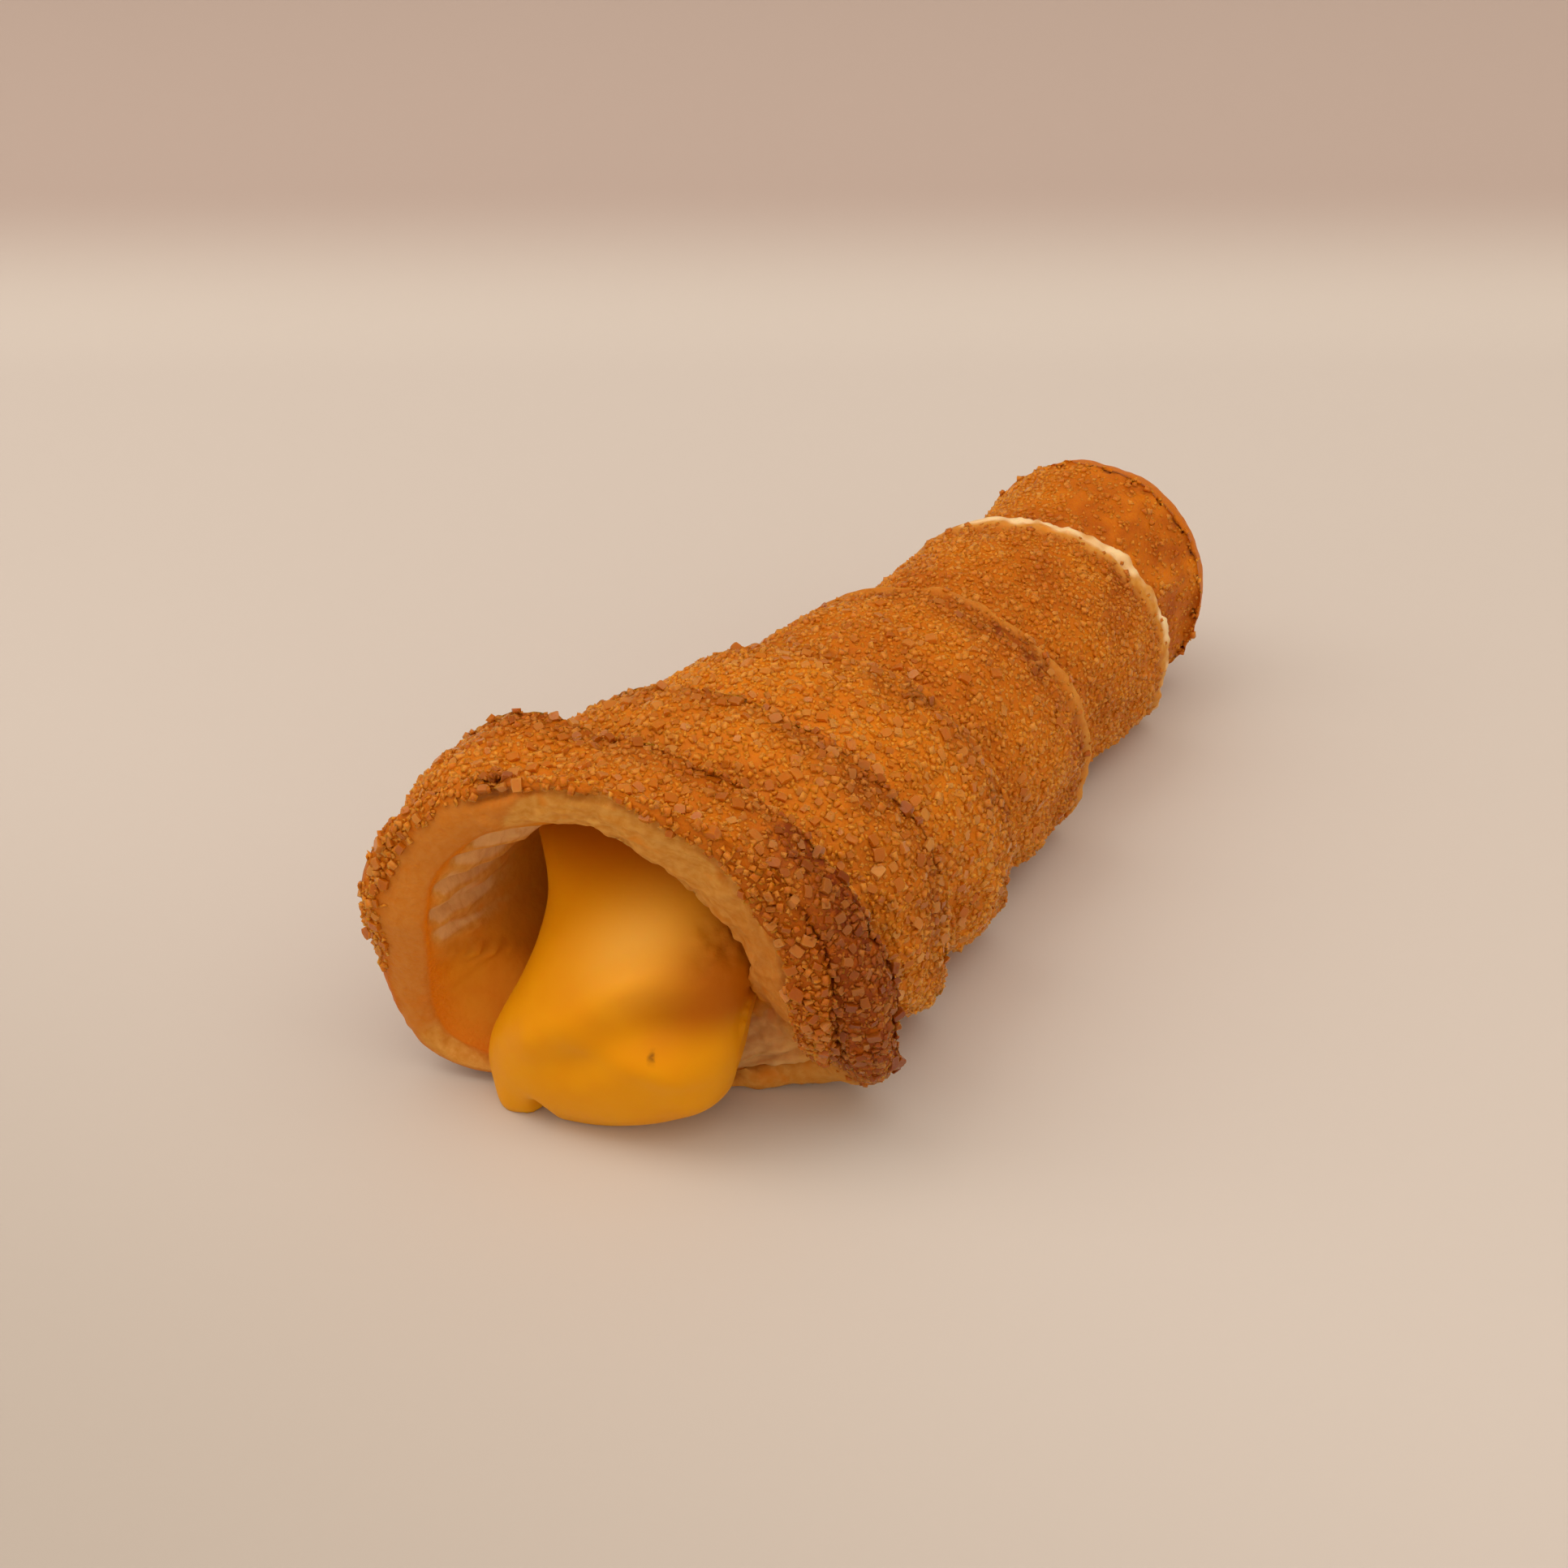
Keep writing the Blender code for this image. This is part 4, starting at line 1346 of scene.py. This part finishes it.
@dataclass
class Custard:
    """The custard: a plug that fills the bore and a thick tongue that sags out of the mouth.

    The tongue is drawn as level slices; each runs from left to right along the mouth's slant
    and bulges forward out of it.

    Attributes:
        form: The horn that holds it.
        around: Points round the plug and round each slice.
        back_gap: Empty length of the bore behind the custard.
        plug_front: Y of the plug's front end.
        plug_rings: Rings along the plug.
        left_gap_depth: How far in the gap at the left reaches.
        sink: How far the custard may sink into the wall of the bore.
        voxel: Size of the cubes that join the plug and the tongue.
        softenings: Times that the joined surface is smoothed.
        slant: Angle between the slices and X, in degrees.
        slice_step: Height between the values of left, right and front.
        slices: Number of slices drawn.
        tongue_top: Height of the top slice.
        slice_squareness: Power that shapes each slice; 1 is an ellipse and less is squarer.
        bulge: How far the slices swell forward.
        left: Left edge of the slices, one every slice_step upwards from the table.
        right: Right edge of the slices.
        front: How far forward the slices reach.
        creases: Ridges and hollows on the front.
    """

    form: HornForm
    around: int = 96
    back_gap: float = 6.0
    plug_front: float = 3.5
    plug_rings: int = 60
    left_gap_depth: float = 20.0
    sink: float = 0.15
    voxel: float = 0.36
    softenings: int = 14
    slant: float = 17.0
    slice_step: float = 3.0
    slices: int = 80
    tongue_top: float = 27.0
    slice_squareness: float = 0.9
    bulge: float = 6.5
    left: EvenCurve = EvenCurve((-13.2, -13.0, -12.2, -10.8, -9.4, -8.5, -8.7, -11.0, -14.5, -16.5))
    right: EvenCurve = EvenCurve((3.0, 7.0, 8.4, 9.0, 9.6, 10.2, 10.8, 10.8, 10.4, 8.0))
    front: EvenCurve = EvenCurve((7.6, 9.6, 10.6, 10.9, 10.1, 8.2, 5.2, 1.4, -3.0, -8.0))
    creases: tuple[Crease, ...] = (
        Crease((-3.0, 10.4), (4.0, 15.6), 1.8, 0.9),
        Crease((3.6, 15.4), (8.0, 15.6), 1.5, 0.7),
        Crease((0.6, 9.0), (6.4, 13.0), 1.9, -1.0),
        Crease((6.4, 13.0), (9.0, 12.0), 1.6, -0.7),
        Crease((1.6, 10.8), (7.6, 9.0), 1.3, 0.5),
        Crease((7.6, 9.0), (7.8, 5.0), 1.3, 0.4),
    )

    def build(self) -> bpy.types.Mesh:
        """Join the plug and the tongue into one soft mesh, in millimetres."""
        skin = Skin(())
        self._tube(skin, self._plug())
        self._tube(skin, self._tongue())
        rough = skin.make("custard_rough", np.zeros(3))
        remesh = rough.modifiers.new("join", "REMESH")
        remesh.mode = "VOXEL"
        remesh.voxel_size = self.voxel * MM
        soften = rough.modifiers.new("soften", "SMOOTH")
        soften.factor, soften.iterations = 0.5, self.softenings
        soft = frozen(rough, "custard_soft")
        mesh = soft.data
        bpy.data.objects.remove(soft)
        return mesh

    def _tube(self, skin: Skin, rings: list[np.ndarray]) -> None:
        """Draw a skin over rings and close both ends."""
        made = [skin.add(ring) for ring in rings]
        for ring_a, ring_b in zip(made, made[1:]):
            skin.bridge(ring_a, ring_b)
        for ring, flip in ((made[0], True), (made[-1], False)):
            middle = skin.add(skin.points[ring].mean(axis=0)[None])
            centre = np.repeat(middle, len(ring))
            near, far = (np.roll(ring, -1), ring) if flip else (ring, np.roll(ring, -1))
            skin.quads(near, far, centre, centre)

    def _plug(self) -> list[np.ndarray]:
        """Rings of the custard inside the bore, from the rear to just inside the mouth."""
        form = self.form
        angle = 2 * math.pi * np.arange(self.around) / self.around
        rings = []
        for part in np.linspace(0.0, 1.0, self.plug_rings):
            y = blend(form.rear_y - self.back_gap, self.plug_front, part)
            centre_x, centre_z, half_width, half_height = form.bore(y)
            opening = 1.0 - ease(y - form.mouth_y0, 4.0, self.left_gap_depth)
            cos, sin = np.cos(angle), np.sin(angle)
            draw = 1.0 - opening * (0.5 * np.maximum(-cos, 0.0) + 0.1 * np.maximum(sin, 0.0))
            dome = 1.0 - 0.25 * ease(part, 0.92, 1.0) - 0.2 * (1.0 - ease(part, 0.0, 0.03))
            x = centre_x + half_width * cos * draw * dome
            z = centre_z + half_height * sin * dome * (1.0 - 0.04 * opening)
            rings.append(np.stack((x, np.full_like(x, y), z), axis=-1))
        return rings

    def _tongue(self) -> list[np.ndarray]:
        """Level slices of the tongue, from the table up to the roof of the bore."""
        angle = 2 * math.pi * np.arange(self.around) / self.around
        wide = squarish(np.cos(angle), self.slice_squareness)
        deep = squarish(np.sin(angle), self.slice_squareness)
        slant = math.radians(self.slant)
        rings = []
        for z in np.linspace(0.0, self.tongue_top, self.slices):
            edges = (self.left, self.right, self.front)
            left, right, front = (edge.at(z / self.slice_step) for edge in edges)
            back = blend(2.8, -8.0, ease(z, 4.0, 7.5)) - 6.0 * ease(z, 15.0, 24.0)
            across = (left + right) / 2 + (right - left) / 2 * wide
            middle = front - self.bulge
            ahead = middle + deep * np.where(deep > 0, self.bulge, np.maximum(middle - back, 0.5))
            ahead = np.maximum(ahead, back)
            x = across * math.cos(slant) + ahead * math.sin(slant)
            y = across * math.sin(slant) - ahead * math.cos(slant)
            rings.append(np.stack((x, y, np.full_like(x, z)), axis=-1))
        return rings

    def _kept_in(self, points: np.ndarray) -> np.ndarray:
        """Draw points behind the mouth in to the wall of the bore."""
        x, y, z = points.T
        centre_x, centre_z, half_width, half_height = self.form.bore(y)
        angle = np.arctan2((z - centre_z) / half_height, (x - centre_x) / half_width)
        wall = self.form.inner(angle, y) - np.stack((centre_x, y, centre_z), axis=-1)
        room = np.hypot(wall[:, 0], wall[:, 2]) + self.sink
        far = np.hypot(x - centre_x, z - centre_z) / room
        behind = ease(y - self.form.mouth_y(angle), -0.6, 1.2) * (z > 4.0)
        pull = blend(1.0, 1.0 / np.maximum(far, 1.0), behind)
        x = centre_x + (x - centre_x) * pull
        z = centre_z + (z - centre_z) * pull
        return np.stack((x, y, np.maximum(z, 0.0)), axis=-1)

    def make(self, shift: np.ndarray) -> bpy.types.Object:
        """Sculpt the soft mesh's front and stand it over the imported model."""
        mesh = self.build()
        count = len(mesh.vertices)
        points, out = np.zeros(count * 3, np.float32), np.zeros(count * 3, np.float32)
        mesh.vertices.foreach_get("co", points)
        mesh.vertex_normals.foreach_get("vector", out)
        points, out = points.reshape(-1, 3) / MM, out.reshape(-1, 3)
        x, y, z = points.T
        front = (out[:, 1] < 0.2) * (y < 0.0)
        push = 0.3 * Grain(9.0, 61).at(points) * (y < 2.0)
        for crease in self.creases:
            push = push + 0.8 * front * crease.at(x, z)
        # Painted highlight on the upper shelf, where the light falls.
        thin = front * hump(x, 2.6, 3.4) * hump(z, 17.6, 2.6)
        torn = hump(x, 8.6, 1.8) * hump(z, 18.6, 2.2) * (y < 2.0)
        push += 0.5 * torn * Grain(1.1, 67, 2).at(points) - 0.3 * torn
        notch = hump(x, -4.4, 0.7) * hump(z, 0.6, 1.5) * (y < -6.0)
        push += hump(x, -7.6, 1.8) * hump(z, 0.3, 2.2) * (y < -5.0) - 2.0 * notch
        points = self._kept_in(points + out * push[:, None])
        specks = hump(x, 6.4, 0.16) * hump(z, 10.6, 0.3) + hump(x, 0.4, 0.3) * hump(z, 24.0, 0.3)
        mesh.vertices.foreach_set("co", ((points + shift) * MM).astype(np.float32).ravel())
        # Painted shade mask: the right side faces away from the light and the top lies back under the
        # rim.
        deep = np.maximum(ease(x, 3.0, 9.0) * ease(z, 10.0, 14.0), ease(z, 18.5, 23.0))
        masks = {"torn": torn, "thin": thin, "deep": deep, "speck": specks * front}
        paint(mesh, {name: np.clip(held, 0.0, 1.0) for name, held in masks.items()})
        mesh.shade_smooth()
        mesh.update()
        return place("custard", mesh)


# --- the studio ---------------------------------------------------------------------------


@dataclass(frozen=True)
class SoftLight:
    """A square light: where it stands, how wide it is, its power and its colour."""

    name: str
    place: tuple[float, float, float]
    width: float
    power: float
    colour: Colour

    def make(self, aim: Vector) -> None:
        """Hang the light and point it."""
        data = bpy.data.lights.new(self.name, "AREA")
        data.shape, data.size = "SQUARE", self.width
        data.energy, data.color = self.power, self.colour
        thing = place(self.name, data)
        thing.location = self.place
        thing.rotation_euler = (aim - Vector(self.place)).to_track_quat("-Z", "Y").to_euler()


@dataclass(frozen=True)
class Studio:
    """The pale table with its backdrop, soft lights and the camera, in metres and degrees.

    Attributes:
        aim: The point that the camera and the lights look at.
        distance: Distance from the camera to that point.
        yaw: Bearing from which the camera looks, anticlockwise from -Y.
        pitch: How far it looks down.
        roll: How far it is turned about its own axis.
        lens: Focal length, in millimetres.
        sensor: Width of the sensor, in millimetres.
        clip: Nearest and farthest distance that the camera sees.
        backdrop: Distance behind the middle at which the table starts to rise.
        sweep: Radius of that rise.
        sweep_steps: Number of flat strips in it.
        reach: How far the table comes forward, and how high the backdrop rises.
        half_width: Half width of the table.
        sky: Colour of the room's own light.
        sky_strength: Its strength.
        lights: The lamps.
    """

    aim: tuple[float, float, float] = (-0.0021, -0.0137, 0.017)
    distance: float = 0.1897
    yaw: float = 34.0
    pitch: float = 32.0
    roll: float = -0.26
    lens: float = 50.31
    sensor: float = 36.0
    clip: tuple[float, float] = (0.01, 20.0)
    backdrop: float = 0.13
    sweep: float = 0.08
    sweep_steps: int = 24
    reach: float = 3.0
    half_width: float = 4.0
    sky: Colour = (1.0, 0.82, 0.58)
    sky_strength: float = 0.90
    lights: tuple[SoftLight, ...] = (
        SoftLight("window", (-0.55, -0.10, 0.75), 0.90, 4.8, (1.0, 0.86, 0.69)),
        SoftLight("ceiling", (0.15, 0.10, 1.00), 1.20, 4.2, (1.0, 0.85, 0.68)),
    )

    def camera(self) -> None:
        """Stand the camera."""
        yaw, pitch = math.radians(self.yaw), math.radians(self.pitch)
        ahead = Vector(
            (-math.sin(yaw) * math.cos(pitch), math.cos(yaw) * math.cos(pitch), -math.sin(pitch))
        )
        data = bpy.data.cameras.new("camera")
        data.lens, data.sensor_width = self.lens, self.sensor
        data.clip_start, data.clip_end = self.clip
        thing = place("camera", data)
        thing.location = Vector(self.aim) - ahead * self.distance
        turned = ahead.to_track_quat("-Z", "Y").to_matrix().to_4x4()
        thing.rotation_euler = turned.to_euler()
        thing.rotation_euler.rotate_axis("Z", math.radians(self.roll))
        bpy.context.scene.camera = thing

    def table(self) -> None:
        """Lay the table top, which sweeps up into the backdrop behind the horn."""
        away = Vector((-math.sin(math.radians(self.yaw)), math.cos(math.radians(self.yaw)), 0.0))
        side = Vector((away.y, -away.x, 0.0))
        bend, radius = self.backdrop, self.sweep
        profile = [(-self.reach, 0.0), (bend, 0.0)]
        for k in range(1, self.sweep_steps + 1):
            turn = math.pi / 2 * k / self.sweep_steps
            profile.append((bend + radius * math.sin(turn), radius * (1.0 - math.cos(turn))))
        profile.append((bend + radius, self.reach))
        corners, faces = [], []
        for run, rise in profile:
            for across in (-self.half_width, self.half_width):
                corners.append(away * run + side * across + Vector((0.0, 0.0, rise)))
        for k in range(len(profile) - 1):
            faces.append((2 * k, 2 * k + 1, 2 * k + 3, 2 * k + 2))
        mesh = bpy.data.meshes.new("table_top")
        mesh.from_pydata(corners, [], faces)
        mesh.shade_smooth()
        mesh.materials.append(PaleTable().material())
        place("table_top", mesh)

    def light(self) -> None:
        """Set the room's own light and hang the lamps."""
        world = bpy.data.worlds.new("room")
        bpy.context.scene.world = world
        world.use_nodes = True
        ground = world.node_tree.nodes["Background"]
        ground.inputs[0].default_value = (*self.sky, 1.0)
        ground.inputs[1].default_value = self.sky_strength
        for lamp in self.lights:
            lamp.make(Vector(self.aim))


def over_model(form: HornForm) -> np.ndarray:
    """Find the move, in millimetres, from the baker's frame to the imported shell's place."""
    low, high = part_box(SHELL_NODE)
    middle = (low.x + high.x) / 2 / MM
    return np.array([middle - form.packed_middle, high.y / MM - form.packed_rear, 0.0])


def report(piece: bpy.types.Object) -> None:
    """Log a finished piece's size."""
    size = ", ".join(f"{1000 * side:.1f}" for side in piece.dimensions)
    faces = sum(len(face.vertices) - 2 for face in piece.data.polygons)
    LOG.info("%s: %s mm, %d triangles", piece.name, size, faces)


def main() -> None:
    """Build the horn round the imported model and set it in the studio."""
    logging.basicConfig(level=logging.INFO, format="%(name)s: %(message)s")
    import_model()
    studio = Studio()
    studio.camera()
    studio.table()
    studio.light()
    bpy.context.scene.view_settings.view_transform = "Standard"

    form = HornForm()
    shift = over_model(form)
    shell = PastryShell(form).build().make("pastry", shift)
    crust = BakedPastry()
    shell.data.materials.append(crust.material())
    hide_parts(SHELL_NODE)
    custard = Custard(form).make(shift)
    custard.data.materials.append(SetCustard().material())
    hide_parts(CUSTARD_NODE)

    coats = (
        SugarCoat(SugarKind.COARSE, spacing=1.05, sizes=(0.6, 1.1), tilt=0.35, seed=5),
        SugarCoat(SugarKind.FINE, spacing=0.57, sizes=(0.34, 0.74), tilt=0.6, seed=9),
        SugarCoat(SugarKind.MELTED, spacing=0.52, sizes=(0.34, 0.7), tilt=0.9, seed=13),
    )
    finishes = (
        BakedSugar("clear_sugar", crust, clarity=0.62, rough=0.12, see_through=0.35),
        BakedSugar("amber_sugar", crust, clarity=0.42, rough=0.2, see_through=0.15),
        BakedSugar("caramel", crust, clarity=0.2, rough=0.3, see_through=0.0),
    )
    pieces = [(shell, "pastry"), (custard, "custard")]
    for coat, finish in zip(coats, finishes):
        pieces.append((coat.make(shell, finish.material()), "pastry"))
    for piece, slot in pieces:
        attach(piece, "root")
        report(piece)


if __name__ == "__main__":
    main()
